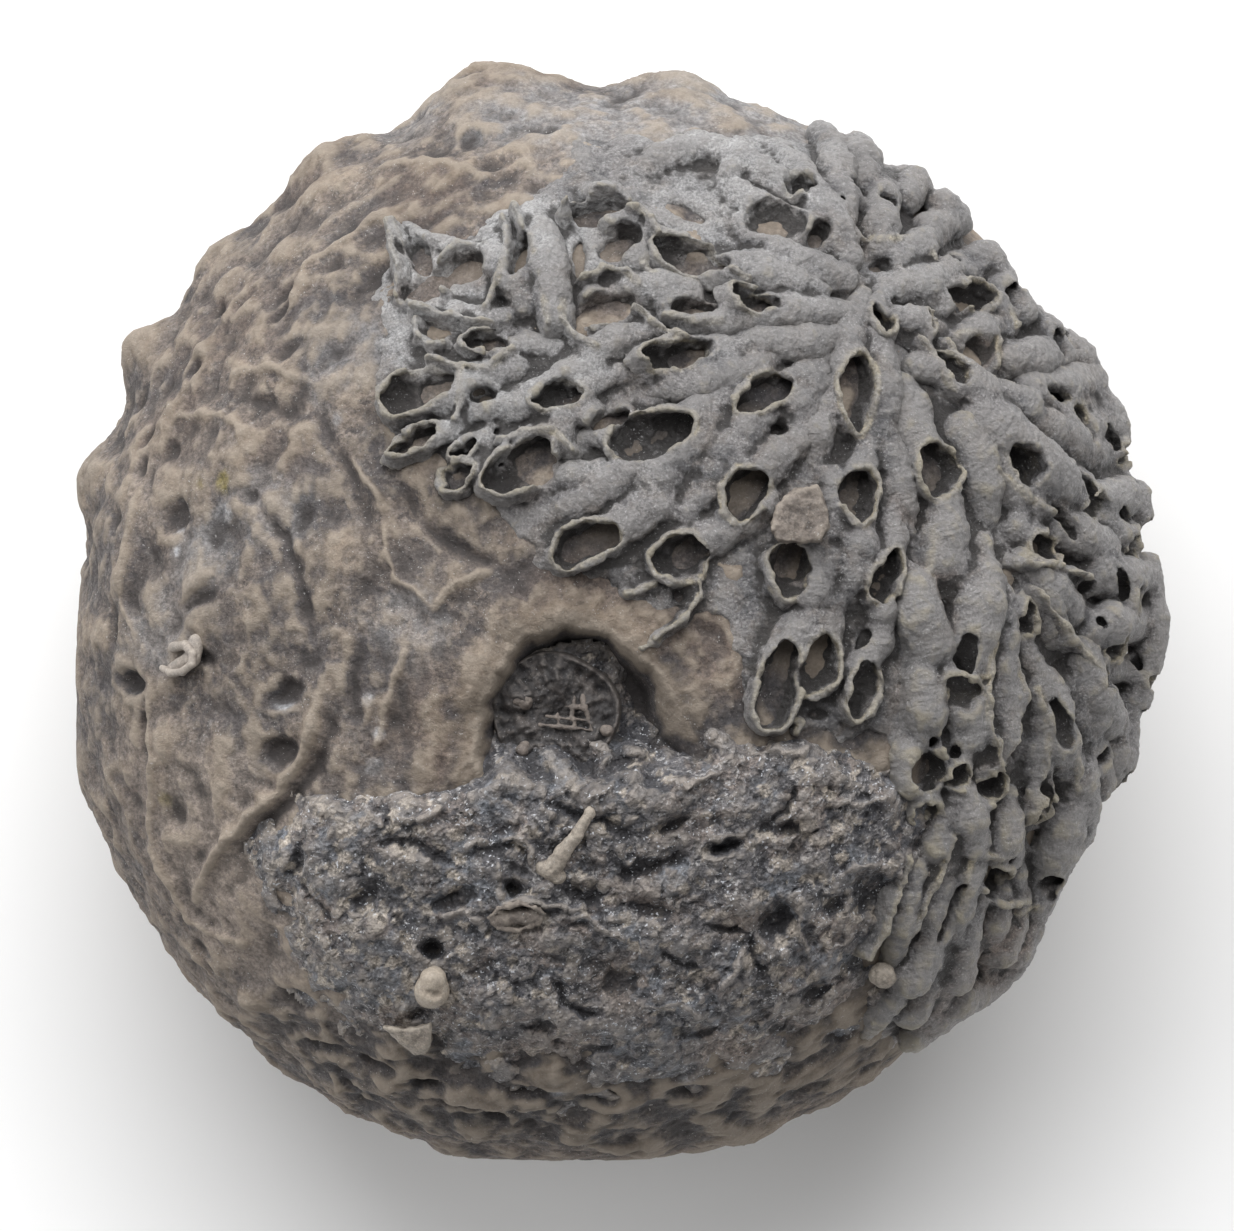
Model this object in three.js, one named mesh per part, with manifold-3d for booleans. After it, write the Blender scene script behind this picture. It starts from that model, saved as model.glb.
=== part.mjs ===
// A fossil crinoid cup lying stem side up, with the tube coral, bryozoans, shell bits and rock
// that grew on it or stuck to it. Millimetres, +Z up, origin under the middle of the outline.

import * as THREE from 'three';
import { mergeVertices } from 'three/addons/utils/BufferGeometryUtils.js';
import Module from 'manifold-3d';

const wasm = await Module();
wasm.setup();

// Driving dimensions.
const cupTop = 24.2;         // height of the cup's summit
const rimHeight = 10.5;      // height at which the cup is widest
const headroom = 30;         // a height above everything
const cupRadius = 19.35;     // mean radius of the outline
const restShare = 0.47;      // resting face's radius as a share of the outline's
const plateRelief = 0.2;     // how far a plate's middle stands over its corners
const gap = 0.32;            // clearance kept between touching pieces
const cutWidth = 0.36;       // width of the cuts between the coral's branches
const filmThickness = 0.62;  // the coral's thin base over the clearance
const crustThickness = 1.05; // rock over the clearance
const coralHem = 1.5;        // how far the coral hangs below the widest height
const sectors = 35;
const upperRings = 8;
const lowerRings = 4;

const outlineMiddle = new THREE.Vector2(-0.75, -0.35);
const summit = new THREE.Vector2(-1.2, -3.4);
const degrees = THREE.MathUtils.degToRad;

// Arm bases that stand out of the outline: direction, height and half width in degrees.
const armBases = [
  { at: 82, out: 1.2, half: 5 },
  { at: 103, out: 2.35, half: 6.5 },
  { at: 121, out: 1.7, half: 6 },
  { at: 137, out: 1.2, half: 5 },
  { at: 150, out: 1.3, half: 4.5 },
  { at: 165, out: 1.0, half: 4.5 },
  { at: 197, out: 0.45, half: 6 },
];
const armBaseHeight = 3.2;

// ---- solids ----

function solidFrom(geometry) {
  const bare = geometry.index ? geometry.toNonIndexed() : geometry.clone();
  bare.deleteAttribute('normal');
  bare.deleteAttribute('uv');
  const merged = mergeVertices(bare, 1e-3);
  return new wasm.Manifold(new wasm.Mesh({
    numProp: 3,
    vertProperties: new Float32Array(merged.attributes.position.array),
    triVerts: new Uint32Array(merged.index.array),
  }));
}

function geometryFrom(solid) {
  const { vertProperties, triVerts } = solid.getMesh();
  const geometry = new THREE.BufferGeometry();
  geometry.setAttribute('position', new THREE.BufferAttribute(vertProperties, 3));
  geometry.setIndex(new THREE.BufferAttribute(triVerts, 1));
  geometry.computeVertexNormals();
  return geometry;
}

function meshFrom(name, solid, finish) {
  const material = new THREE.MeshStandardMaterial({ metalness: 0, ...finish });
  const mesh = new THREE.Mesh(geometryFrom(solid), material);
  mesh.name = name;
  return mesh;
}

// The main body of a cut piece, without the crumbs that the cuts leave.
function mainBody(solid) {
  const bodies = solidFrom(geometryFrom(solid)).decompose();
  return bodies.reduce((best, body) => (body.volume() > best.volume() ? body : best));
}

function cutAll(solid, cutters) {
  return cutters.reduce((rest, cutter) => rest.subtract(cutter), solid);
}

// A closed skin over rings of points that run from one end of the piece to the other.
function loft(rings) {
  const count = rings[0].length;
  const last = rings[rings.length - 1];
  const middleOf = (ring) => ring.reduce((sum, p) => sum.add(p), new THREE.Vector3()).divideScalar(count);
  const firstMiddle = middleOf(rings[0]);
  const lastMiddle = middleOf(last);
  const corners = [];
  for (let i = 0; i < count; i += 1) {
    const next = (i + 1) % count;
    corners.push(firstMiddle, rings[0][next], rings[0][i]);
    corners.push(lastMiddle, last[i], last[next]);
    for (let k = 0; k + 1 < rings.length; k += 1) {
      corners.push(rings[k][i], rings[k][next], rings[k + 1][next]);
      corners.push(rings[k][i], rings[k + 1][next], rings[k + 1][i]);
    }
  }
  return solidFrom(new THREE.BufferGeometry().setFromPoints(corners));
}

// An upright prism over a plan outline.
function prism(outline, low, high) {
  const shape = new THREE.Shape(outline.map(([x, y]) => new THREE.Vector2(x, y)));
  const geometry = new THREE.ExtrudeGeometry(shape, { depth: high - low, bevelEnabled: false });
  geometry.translate(0, 0, low);
  return solidFrom(geometry);
}

// A thin upright wall along a plan line, used to cut two branches apart.
function blade(line) {
  const left = [];
  const right = [];
  line.forEach(([x, y], i) => {
    const [ax, ay] = line[Math.max(i - 1, 0)];
    const [bx, by] = line[Math.min(i + 1, line.length - 1)];
    const side = new THREE.Vector2(ay - by, bx - ax).setLength(cutWidth / 2);
    left.push([x + side.x, y + side.y]);
    right.push([x - side.x, y - side.y]);
  });
  return prism([...right, ...left.reverse()], 0, headroom);
}

// A rod along a line of points, with a radius at each.
function rod(points, radii, sides) {
  const line = points.map((p) => new THREE.Vector3(...p));
  return loft(line.map((point, i) => {
    const before = line[Math.max(i - 1, 0)];
    const after = line[Math.min(i + 1, line.length - 1)];
    const along = after.clone().sub(before).normalize();
    const across = new THREE.Vector3(0, 0, 1).cross(along).normalize();
    const up = along.clone().cross(across);
    return Array.from({ length: sides }, (_, s) => {
      const turn = (s / sides) * 2 * Math.PI;
      const offset = across.clone().multiplyScalar(Math.cos(turn)).addScaledVector(up, Math.sin(turn));
      return point.clone().addScaledVector(offset, radii[i]);
    });
  }));
}

// Upright oval rings, one for each level { z, wide, deep }, joined into a bowl.
function bowl(middle, levels, sides) {
  return loft(levels.map(({ z, wide, deep, shift = 0 }) => Array.from({ length: sides }, (_, i) => {
    const turn = (i / sides) * 2 * Math.PI;
    const x = middle[0] + wide * Math.cos(turn);
    const y = middle[1] + shift + deep * Math.sin(turn);
    return new THREE.Vector3(x, y, z);
  })));
}

function turned(profile, sides) {
  const geometry = new THREE.LatheGeometry(profile.map(([r, z]) => new THREE.Vector2(r, z)), sides);
  geometry.rotateX(Math.PI / 2);
  return geometry;
}

// ---- the cup's surface ----

// Repeatable unevenness between -1 and 1, one value for each pair of whole numbers.
function uneven(i, j) {
  const wave = Math.sin(i * 127.1 + j * 311.7) * 43758.5453;
  return 2 * (wave - Math.floor(wave)) - 1;
}

// The outline is a round, a little longer towards 240 degrees.
function outlinePoint(angle, grow) {
  const turn = angle - degrees(240);
  const radius = cupRadius + 0.5 * Math.cos(2 * turn) + 0.5 * Math.cos(turn) + grow;
  return new THREE.Vector2(radius * Math.cos(angle), radius * Math.sin(angle)).add(outlineMiddle);
}

function armBaseAt(angle, height) {
  const fade = Math.exp(-(((height - rimHeight) / armBaseHeight) ** 2));
  return fade * armBases.reduce((sum, { at, out, half }) => {
    const away = THREE.MathUtils.euclideanModulo(THREE.MathUtils.radToDeg(angle) - at + 180, 360) - 180;
    return sum + out * Math.exp(-((away / half) ** 2));
  }, 0);
}

// Rings from the underside up. lift moves the whole skin outward, roughness makes it lumpy.
function cupSkin(lift, roughness) {
  const rings = [];
  for (let k = 0; k <= lowerRings + upperRings; k += 1) {
    const below = k < lowerRings;
    const tilt = (below ? k / lowerRings : (k - lowerRings) / upperRings) * (Math.PI / 2);
    const share = below
      ? restShare + (1 - restShare) * Math.sin(tilt)
      : Math.max(Math.cos(tilt) ** 0.91, 0.04);
    const height = below
      ? (rimHeight + lift) * (1 - Math.cos(tilt)) - lift
      : rimHeight + (cupTop - rimHeight + lift) * Math.sin(tilt);
    const ring = [];
    for (let i = 0; i < sectors; i += 1) {
      const angle = (i / sectors) * 2 * Math.PI;
      const plate = below ? 0 : plateRelief * (((i + k) % 2) - 0.5) * Math.cos(tilt);
      const grow = lift + armBaseAt(angle, height) + plate + roughness * uneven(i, k);
      const edge = outlinePoint(angle, grow).sub(summit).multiplyScalar(share).add(summit);
      const lump = roughness * uneven(k, i) * Math.sin(tilt);
      ring.push(new THREE.Vector3(edge.x, edge.y, height + lump));
    }
    rings.push(ring);
  }
  return loft(rings);
}

// Height of the plain skin over a plan point.
function skinHeight(x, y) {
  const out = new THREE.Vector2(x, y).sub(summit);
  let angle = out.angle();
  let edge = outlinePoint(angle, 0);
  for (let pass = 0; pass < 6; pass += 1) {
    const missed = edge.clone().sub(summit).angle() - out.angle();
    angle -= THREE.MathUtils.euclideanModulo(missed + Math.PI, 2 * Math.PI) - Math.PI;
    edge = outlinePoint(angle, 0);
  }
  const share = Math.min(out.length() / edge.sub(summit).length(), 1);
  return rimHeight + (cupTop - rimHeight) * Math.sqrt(1 - share ** 2.2);
}

function overSkin(x, y, above) {
  return [x, y, skinHeight(x, y) + above];
}

// ---- cup and stem pit ----

const pitMiddle = [-1.35, -3.95];
const pitFloor = 21.8;

function stemPit(grow) {
  return bowl(pitMiddle, [
    { z: pitFloor - grow, wide: 2.9 + grow, deep: 2.3 + grow },
    { z: pitFloor + 0.5, wide: 3.35 + grow, deep: 2.65 + grow },
    { z: cupTop - 0.2, wide: 3.7 + grow, deep: 3.0 + grow },
    { z: headroom, wide: 4.1 + grow, deep: 3.4 + grow },
  ], 14);
}

const cup = cupSkin(0, 0).subtract(stemPit(0));
const cupWithClearance = cupSkin(gap, 0).subtract(stemPit(-gap));

// ---- small loose pieces; grow makes the pocket that clears a piece ----

const discMiddle = [-2.4, -4.15];
const discFloor = pitFloor + gap;
const crustTop = gap + crustThickness;

function stemColumnal(grow) {
  const geometry = turned([
    [0, -grow],
    [1.75 + grow, -grow],
    [1.85 + grow, 0.45],
    [1.7 + grow, 0.9 + grow],
    [0, 0.8 + grow],
  ], 12);
  geometry.rotateY(degrees(-3));
  geometry.translate(...discMiddle, discFloor + 0.1);
  return solidFrom(geometry);
}

function laceBryozoan() {
  const low = discFloor + 1.35;
  const net = prism([[-3.05, -4.45], [-1.35, -4.35], [-1.4, -3.4], [-3.0, -3.5]], low, low + 0.22);
  const holes = [-2.75, -2.2, -1.65].flatMap((x) => [-4.15, -3.71].map((y) => {
    const hole = new THREE.BoxGeometry(0.34, 0.26, 1);
    hole.translate(x, y, low);
    return solidFrom(hole);
  }));
  return cutAll(net, holes);
}

function twigBryozoan(grow) {
  const points = [
    overSkin(-2.65, -9.65, crustTop),
    overSkin(-2.2, -9.0, crustTop + 0.1),
    overSkin(-1.7, -8.1, crustTop + 0.1),
    overSkin(-1.3, -7.4, crustTop),
  ];
  return rod(points, [0.4, 0.42, 0.3, 0.24].map((radius) => radius + grow), 6);
}

function ringOssicle(grow) {
  const bore = Math.max(0.27 - grow, 0);
  const profile = [
    [bore, -0.45 - grow],
    [0.7 + grow, -0.45 - grow],
    [0.8 + grow, 0],
    [0.7 + grow, 0.45 + grow],
    [bore, 0.4 + grow],
  ];
  const geometry = turned(bore > 0 ? [...profile, profile[0]] : profile, 9);
  geometry.rotateX(degrees(32));
  geometry.translate(...overSkin(-7.0, -13.7, crustTop - 0.15));
  return solidFrom(geometry);
}

function shellValve(grow) {
  const geometry = new THREE.SphereGeometry(1, 8, 5);
  geometry.scale(1.05 + grow, 0.5 + grow, 0.55 + grow);
  geometry.rotateX(degrees(25));
  geometry.translate(...overSkin(-4.0, -11.3, crustTop - 0.2));
  return solidFrom(geometry);
}

function knobOssicle(grow) {
  const geometry = new THREE.SphereGeometry(0.42 + grow, 7, 5);
  geometry.translate(...overSkin(9.3, -13.4, gap + 0.4));
  return solidFrom(geometry);
}

// A flat chip with a plan outline, lying low to high above the skin.
function chip(outline, low, high, grow) {
  const middle = new THREE.Vector2();
  outline.forEach(([x, y]) => middle.add(new THREE.Vector2(x, y).divideScalar(outline.length)));
  const wider = outline.map(([x, y]) => {
    const out = new THREE.Vector2(x, y).sub(middle);
    return out.setLength(out.length() + grow).add(middle).toArray();
  });
  const base = skinHeight(middle.x, middle.y);
  return prism(wider, base + low - grow, base + high + grow);
}

function coralChip(grow) {
  const outline = [
    [5.3, 2.7], [5.7, 2.35], [6.9, 2.3], [7.15, 2.9], [7.05, 3.6], [6.7, 4.3], [6.0, 4.1], [5.5, 3.5],
  ];
  return chip(outline, gap + 0.1, gap + 1.35, grow);
}

function rimChip(grow) {
  const outline = [[-8.9, -15.3], [-8.0, -15.2], [-7.2, -15.5], [-7.3, -16.1], [-7.9, -16.25], [-8.5, -15.9]];
  return chip(outline, -0.6, gap + 0.9, grow);
}

function wormTube() {
  const geometry = new THREE.TorusGeometry(0.5, 0.24, 5, 9);
  geometry.rotateY(degrees(-48));
  geometry.translate(-16.55, -1.85, skinHeight(-16.2, -1.85) + 0.75);
  return solidFrom(geometry);
}

// ---- rock ----

const crustOutline = [
  [-13.0, -8.0], [-10.8, -7.0], [-8.0, -6.7], [-5.6, -6.2], [-5.0, -3.6], [-3.8, -1.9], [-1.2, -1.4],
  [1.0, -2.4], [2.2, -4.4], [4.6, -6.6], [7.4, -6.5], [9.5, -6.3], [9.7, -9.5], [8.4, -12.7],
  [7.4, -14.9], [2.6, -16.7], [-2.4, -16.7], [-6.8, -16.4], [-9.2, -15.0], [-11.7, -13.0], [-12.9, -10.3],
];

// The open part of the pit above the rock and the stem disc.
function pitHollow() {
  return bowl(pitMiddle, [
    { z: pitFloor + 0.8, wide: 2.7, deep: 2.0 },
    { z: cupTop - 0.6, wide: 3.5, deep: 2.5, shift: 0.3 },
    { z: headroom, wide: 4.2, deep: 3.2, shift: 0.6 },
  ], 12);
}

function matrixCrust() {
  const layer = cupSkin(crustTop, 0.2).intersect(prism(crustOutline, rimHeight, headroom));
  const pockets = [stemColumnal, twigBryozoan, ringOssicle, shellValve, rimChip, knobOssicle];
  return mainBody(cutAll(layer, [cupWithClearance, pitHollow(), ...pockets.map((pocket) => pocket(gap))]));
}

// ---- coral ----

// Plan lines of the main forks, one before each branch, all from the point where the coral began.
const hub = [8.2, 10.2];
const forks = {
  coral_north: [hub, [7.6, 13], [7.0, 21.0]],
  coral_north_west: [hub, [3.4, 12.7], [-0.9, 15.4], [-2.2, 17.6]],
  coral_west: [hub, [3.0, 9.7], [0.6, 10.5], [-2.1, 9.6], [-4.4, 10.0], [-9.6, 10.4]],
  coral_south_west: [hub, [3.4, 8.4], [-1.2, 7.1], [-2.0, 5.2], [-3.6, 3.3], [-4.6, 2.4]],
  coral_south: [hub, [7.3, 7.5], [6.9, 5], [5.0, 2.6], [3.7, 1.8], [3.0, -0.8]],
  coral_south_east: [hub, [9.6, 8.0], [9.9, 4.5], [10.5, 1.5], [10.0, -1.5], [9.8, -5.9]],
  coral_east: [hub, [12.5, 7.2], [13.1, 3.2], [14.2, 1.4], [15.7, -1.2], [16.8, -4.2], [18.6, -9.0]],
  coral_north_east: [hub, [13, 8.3], [21.0, 9.6]],
};

// Where each branch's base ends, between its two forks.
const branchEdges = {
  coral_north: [[6.9, 18.2], [2.0, 18.0]],
  coral_north_west: [[-4.6, 16.6], [-8.9, 14.4], [-8.8, 11.6]],
  coral_west: [[-9.6, 7.4], [-8.9, 6.1], [-7.2, 5.0], [-5.4, 3.6]],
  coral_south_west: [[-2.9, 1.2], [-0.4, 0.4], [0.8, -0.7]],
  coral_south: [[3.9, -3.2], [5.0, -4.8], [6.8, -4.9], [8.6, -5.0]],
  coral_south_east: [[10.1, -9.6], [8.9, -12.8], [8.4, -15.0], [10.5, -18.5], [20.0, -14.0]],
  coral_east: [[23.0, -4.0]],
  coral_north_east: [[20.0, 19.0], [8.0, 23.0]],
};

// Tubes in plan: where each one starts, where its mouth is, and its radius there.
const branchTubes = {
  coral_north: [
    { from: [6.5, 13.2], to: [2.0, 12.9], radius: 0.8 },
    { from: [6.2, 15], to: [3.6, 15.6], radius: 0.7 },
    { from: [8, 16.2], to: [5.4, 16.9], radius: 0.75 },
  ],
  coral_north_west: [
    { from: [7.2, 10.9], to: [4.4, 11.1], radius: 0.75 },
    { from: [3.4, 11.4], to: [-0.8, 11.2], radius: 0.9 },
    { from: [0.3, 12.4], to: [-0.7, 14.3], radius: 0.85 },
    { from: [-1.9, 11.2], to: [-3.1, 13.9], radius: 0.8 },
    { from: [-3.6, 11.2], to: [-7.1, 11.8], radius: 1.0 },
    { from: [-4.4, 12.4], to: [-5.9, 13.3], radius: 0.65 },
  ],
  coral_west: [
    { from: [4.4, 9.1], to: [1.9, 9.0], radius: 0.75 },
    { from: [0.4, 8.6], to: [-2.4, 7.8], radius: 0.8 },
    { from: [-1.5, 8.7], to: [-5.1, 9.2], radius: 0.75 },
    { from: [-4.2, 7.9], to: [-7.6, 7.9], radius: 0.9 },
    { from: [-1.9, 6.9], to: [-4.2, 5.1], radius: 1.05 },
    { from: [-4.8, 6.7], to: [-7.9, 6.1], radius: 0.75 },
  ],
  coral_south_west: [
    { from: [6.9, 9.0], to: [4.9, 7.6], radius: 0.8 },
    { from: [3.9, 8.0], to: [0.6, 6.0], radius: 0.95 },
    { from: [6.5, 6.6], to: [4.2, 4.1], radius: 0.85 },
    { from: [2.6, 5.2], to: [-1.7, 2.1], radius: 0.95 },
    { from: [4.0, 3.4], to: [1.9, 1.7], radius: 0.8 },
  ],
  coral_south: [
    { from: [8.5, 9.9], to: [8.4, 7.3], radius: 0.8 },
    { from: [8.6, 6.6], to: [8.45, 3.9], radius: 0.75 },
    { from: [9.3, 3.8], to: [9.4, 0.9], radius: 0.7 },
    { from: [6.4, 1.9], to: [5.3, 0.8], radius: 0.65 },
    { from: [6.4, 0.6], to: [5.5, -3.0], radius: 0.8 },
    { from: [7.5, 1.2], to: [7.0, -2.2], radius: 0.65 },
    { from: [8.4, 0.2], to: [8.6, -3.2], radius: 0.75 },
  ],
  coral_south_east: [
    { from: [10.4, 7.4], to: [11.4, 4.8], radius: 0.95 },
    { from: [10.9, 2.8], to: [11.4, -2.0], radius: 0.7 },
    { from: [12.5, 2], to: [12.3, -2.8], radius: 0.75 },
    { from: [13.4, 1.3], to: [14.2, -0.9], radius: 0.6 },
    { from: [12.4, -3.2], to: [12.4, -5.7], radius: 0.7 },
    { from: [10.8, -2.2], to: [10.8, -5.2], radius: 0.65 },
    { from: [14.4, -2.0], to: [15.0, -7.4], radius: 0.8 },
    { from: [12.0, -5.6], to: [10.9, -7.6], radius: 0.65 },
    { from: [12.6, -8.6], to: [11.3, -12.5], radius: 0.7 },
    { from: [10.9, -9.2], to: [9.6, -12.8], radius: 0.65 },
  ],
  coral_east: [
    { from: [11.6, 7.9], to: [14.3, 5.0], radius: 0.75 },
    { from: [12.8, 7.0], to: [17.0, 3.6], radius: 0.85 },
    { from: [14.4, 7.8], to: [16.7, 6.6], radius: 0.7 },
    { from: [14.0, 3.2], to: [15.3, 1.9], radius: 0.75 },
    { from: [15.6, 3.9], to: [19.2, 2.6], radius: 0.7 },
    { from: [15.6, 1.3], to: [19.6, 0.1], radius: 0.75 },
    { from: [15.9, -0.6], to: [19.6, -1.6], radius: 0.7 },
    { from: [16.9, -2.9], to: [19.4, -3.3], radius: 0.6 },
  ],
  coral_north_east: [
    { from: [9.2, 11.6], to: [9.4, 10.1], radius: 0.5 },
    { from: [10.1, 10.8], to: [12.9, 11.4], radius: 0.8 },
    { from: [9.8, 12.3], to: [12.3, 13.2], radius: 0.7 },
    { from: [10.0, 9.8], to: [11.8, 8.7], radius: 0.7 },
    { from: [13.4, 9.8], to: [15.6, 9.9], radius: 0.7 },
    { from: [9.2, 13.4], to: [9.7, 15.2], radius: 0.7 },
    { from: [11.0, 14.0], to: [12.2, 15.0], radius: 0.65 },
  ],
};

const startLift = 0.15;      // a tube's middle over the clearance where it starts
const mouthLift = 0.75;      // and at its mouth
const longTube = 3.6;        // a tube over this length gets a ring halfway

// One coral tube: it creeps over the skin, swells and lifts at its mouth.
function tubeBody({ from, to, radius }) {
  const halfway = [(from[0] + to[0]) / 2, (from[1] + to[1]) / 2];
  const length = Math.hypot(to[0] - from[0], to[1] - from[1]);
  const points = [overSkin(...from, gap + startLift), overSkin(...to, gap + mouthLift)];
  const radii = [0.72 * radius, radius];
  if (length > longTube) {
    points.splice(1, 0, overSkin(...halfway, gap + (startLift + mouthLift) / 2));
    radii.splice(1, 0, 0.95 * radius);
  }
  return rod(points, radii, 6);
}

// The hollow that opens at the mouth, over the last stretch of the tube.
function tubeHollow({ from, to, radius }) {
  const at = (share) => [0, 1].map((axis) => THREE.MathUtils.lerp(from[axis], to[axis], share));
  const points = [overSkin(...at(0.72), gap + mouthLift + 0.05), overSkin(...at(1.06), gap + mouthLift + 0.25)];
  return rod(points, [0.42 * radius, 0.68 * radius], 5);
}

function coralBranch(name, nextName) {
  const tubes = branchTubes[name];
  const film = cupSkin(gap + filmThickness, 0.05);
  const grown = tubes.reduce((sum, tube) => sum.add(tubeBody(tube)), film);
  const bored = cutAll(grown, tubes.map(tubeHollow));
  const outline = [...forks[name], ...branchEdges[name], ...forks[nextName].slice(1).reverse()];
  const inRegion = bored.intersect(prism(outline, rimHeight - coralHem, headroom));
  const neighbours = [cupWithClearance, coralChip(gap), knobOssicle(gap)];
  return mainBody(cutAll(inRegion, [blade(forks[name]), blade(forks[nextName]), ...neighbours]));
}

// ---- finishes and assembly ----

const tan = { color: 0x7a7069, roughness: 0.85 };
const rock = { color: 0x626165, roughness: 0.9 };
const coralGrey = { color: 0x6f6d6c, roughness: 0.85 };
const cream = { color: 0xb0a696, roughness: 0.8 };
const darkStone = { color: 0x4a4644, roughness: 0.85 };

const fossil = new THREE.Group();
fossil.name = 'fossil_crinoid';
fossil.add(meshFrom('calyx', cup, tan));
fossil.add(meshFrom('matrix_crust', matrixCrust(), rock));
fossil.add(meshFrom('stem_columnal', stemColumnal(0), darkStone));
const branchNames = Object.keys(forks);
branchNames.forEach((name, i) => {
  const nextName = branchNames[(i + 1) % branchNames.length];
  fossil.add(meshFrom(name, coralBranch(name, nextName), coralGrey));
});
fossil.add(meshFrom('lace_bryozoan', laceBryozoan(), cream));
fossil.add(meshFrom('twig_bryozoan', twigBryozoan(0), cream));
fossil.add(meshFrom('ring_ossicle', ringOssicle(0), cream));
fossil.add(meshFrom('plate_chip_coral', coralChip(0).subtract(cupWithClearance), tan));
fossil.add(meshFrom('plate_chip_rim', rimChip(0).subtract(cupWithClearance), cream));
fossil.add(meshFrom('shell_valve', shellValve(0), tan));
fossil.add(meshFrom('knob_ossicle', knobOssicle(0), cream));
fossil.add(meshFrom('worm_tube', wormTube().subtract(cupWithClearance), cream));

// The origin sits under the middle of the outline.
const middle = new THREE.Box3().setFromObject(fossil).getCenter(new THREE.Vector3());
fossil.position.set(-middle.x, -middle.y, 0);

export default fossil;
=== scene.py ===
# A fossil crinoid cup lying stem side up, overgrown by tube coral and stuck over with rock.
# Lengths in the dictionaries are millimetres, +Z is up and the origin lies under the middle.

import math
import random

import bpy
import numpy as np
import openvdb
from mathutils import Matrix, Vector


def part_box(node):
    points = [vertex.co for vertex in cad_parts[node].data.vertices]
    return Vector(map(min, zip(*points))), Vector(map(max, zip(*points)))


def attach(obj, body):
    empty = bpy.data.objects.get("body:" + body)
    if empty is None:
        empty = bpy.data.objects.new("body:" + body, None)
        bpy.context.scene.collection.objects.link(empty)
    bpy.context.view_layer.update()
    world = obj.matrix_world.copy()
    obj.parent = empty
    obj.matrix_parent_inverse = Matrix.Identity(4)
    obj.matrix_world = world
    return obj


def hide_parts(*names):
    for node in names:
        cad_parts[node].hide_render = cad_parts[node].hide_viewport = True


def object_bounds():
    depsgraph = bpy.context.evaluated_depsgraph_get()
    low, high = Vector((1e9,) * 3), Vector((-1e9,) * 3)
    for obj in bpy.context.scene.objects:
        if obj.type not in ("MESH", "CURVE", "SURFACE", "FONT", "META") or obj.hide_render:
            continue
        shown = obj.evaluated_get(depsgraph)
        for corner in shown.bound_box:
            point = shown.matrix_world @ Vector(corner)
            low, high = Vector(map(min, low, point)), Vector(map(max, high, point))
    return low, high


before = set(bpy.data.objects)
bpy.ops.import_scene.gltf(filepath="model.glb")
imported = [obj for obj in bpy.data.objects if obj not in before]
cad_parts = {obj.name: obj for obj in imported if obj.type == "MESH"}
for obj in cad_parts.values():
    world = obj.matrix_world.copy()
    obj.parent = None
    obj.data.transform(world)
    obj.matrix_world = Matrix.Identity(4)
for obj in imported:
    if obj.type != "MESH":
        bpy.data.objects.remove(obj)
cadLow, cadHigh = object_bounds()
mm = 0.001
print("frame loaded")

# Camera straight above, far back so that the outline shows its true shape.
cameraView = {"middle": (-0.363, -0.345), "height": 900, "width": 44.79, "aimHeight": 18}


def addCamera(look):
    camera = bpy.data.objects.new("camera", bpy.data.cameras.new("camera"))
    bpy.context.scene.collection.objects.link(camera)
    camera.location = (look["middle"][0] * mm, look["middle"][1] * mm, look["height"] * mm)
    reach = look["height"] - look["aimHeight"]
    camera.data.sensor_width = 36
    camera.data.lens = 36 * reach / look["width"]
    camera.data.clip_start = 0.01
    camera.data.clip_end = 20
    bpy.context.scene.camera = camera


# Soft light: one large lamp beyond the top of the view, weaker ones round the other sides.
studio = {
    "floorSize": 3.0,
    "floorColour": (0.86, 0.86, 0.86),
    "air": 0.2,
    "aim": (0, 0, 0.012),
    "lamps": [
        # name, place in metres, size in metres, watts
        ("key", (-0.04, 0.6, 0.52), 0.9, 13.2),
        ("fillLeft", (-0.62, 0.1, 0.34), 0.5, 2.1),
        ("fillRight", (0.6, 0.1, 0.4), 0.5, 0.9),
        ("fillFront", (0.0, -0.65, 0.35), 0.5, 0.5),
    ],
}


def addStudio(look):
    half = look["floorSize"] / 2
    mesh = bpy.data.meshes.new("floor")
    corners = [(-half, -half, 0), (half, -half, 0), (half, half, 0), (-half, half, 0)]
    mesh.from_pydata(corners, [], [(0, 1, 2, 3)])
    floor = bpy.data.objects.new("floor", mesh)
    bpy.context.scene.collection.objects.link(floor)
    paint = bpy.data.materials.new("floorPaint")
    paint.use_nodes = True
    shader = paint.node_tree.nodes["Principled BSDF"]
    shader.inputs["Base Color"].default_value = (*look["floorColour"], 1)
    shader.inputs["Roughness"].default_value = 0.9
    mesh.materials.append(paint)
    for name, place, size, watts in look["lamps"]:
        lamp = bpy.data.objects.new(name, bpy.data.lights.new(name, "AREA"))
        bpy.context.scene.collection.objects.link(lamp)
        lamp.location = place
        lamp.data.size = size
        lamp.data.energy = watts
        aim = bpy.data.objects.new(name + "Aim", None)
        bpy.context.scene.collection.objects.link(aim)
        aim.location = look["aim"]
        follow = lamp.constraints.new("TRACK_TO")
        follow.target = aim
        follow.track_axis = "TRACK_NEGATIVE_Z"
        follow.up_axis = "UP_Y"
    air = bpy.data.worlds.new("air")
    air.use_nodes = True
    air.node_tree.nodes["Background"].inputs["Color"].default_value = (1, 1, 1, 1)
    air.node_tree.nodes["Background"].inputs["Strength"].default_value = look["air"]
    bpy.context.scene.world = air
    bpy.context.scene.view_settings.view_transform = "Standard"


addCamera(cameraView)
addStudio(studio)
print("camera and studio ready")


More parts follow.
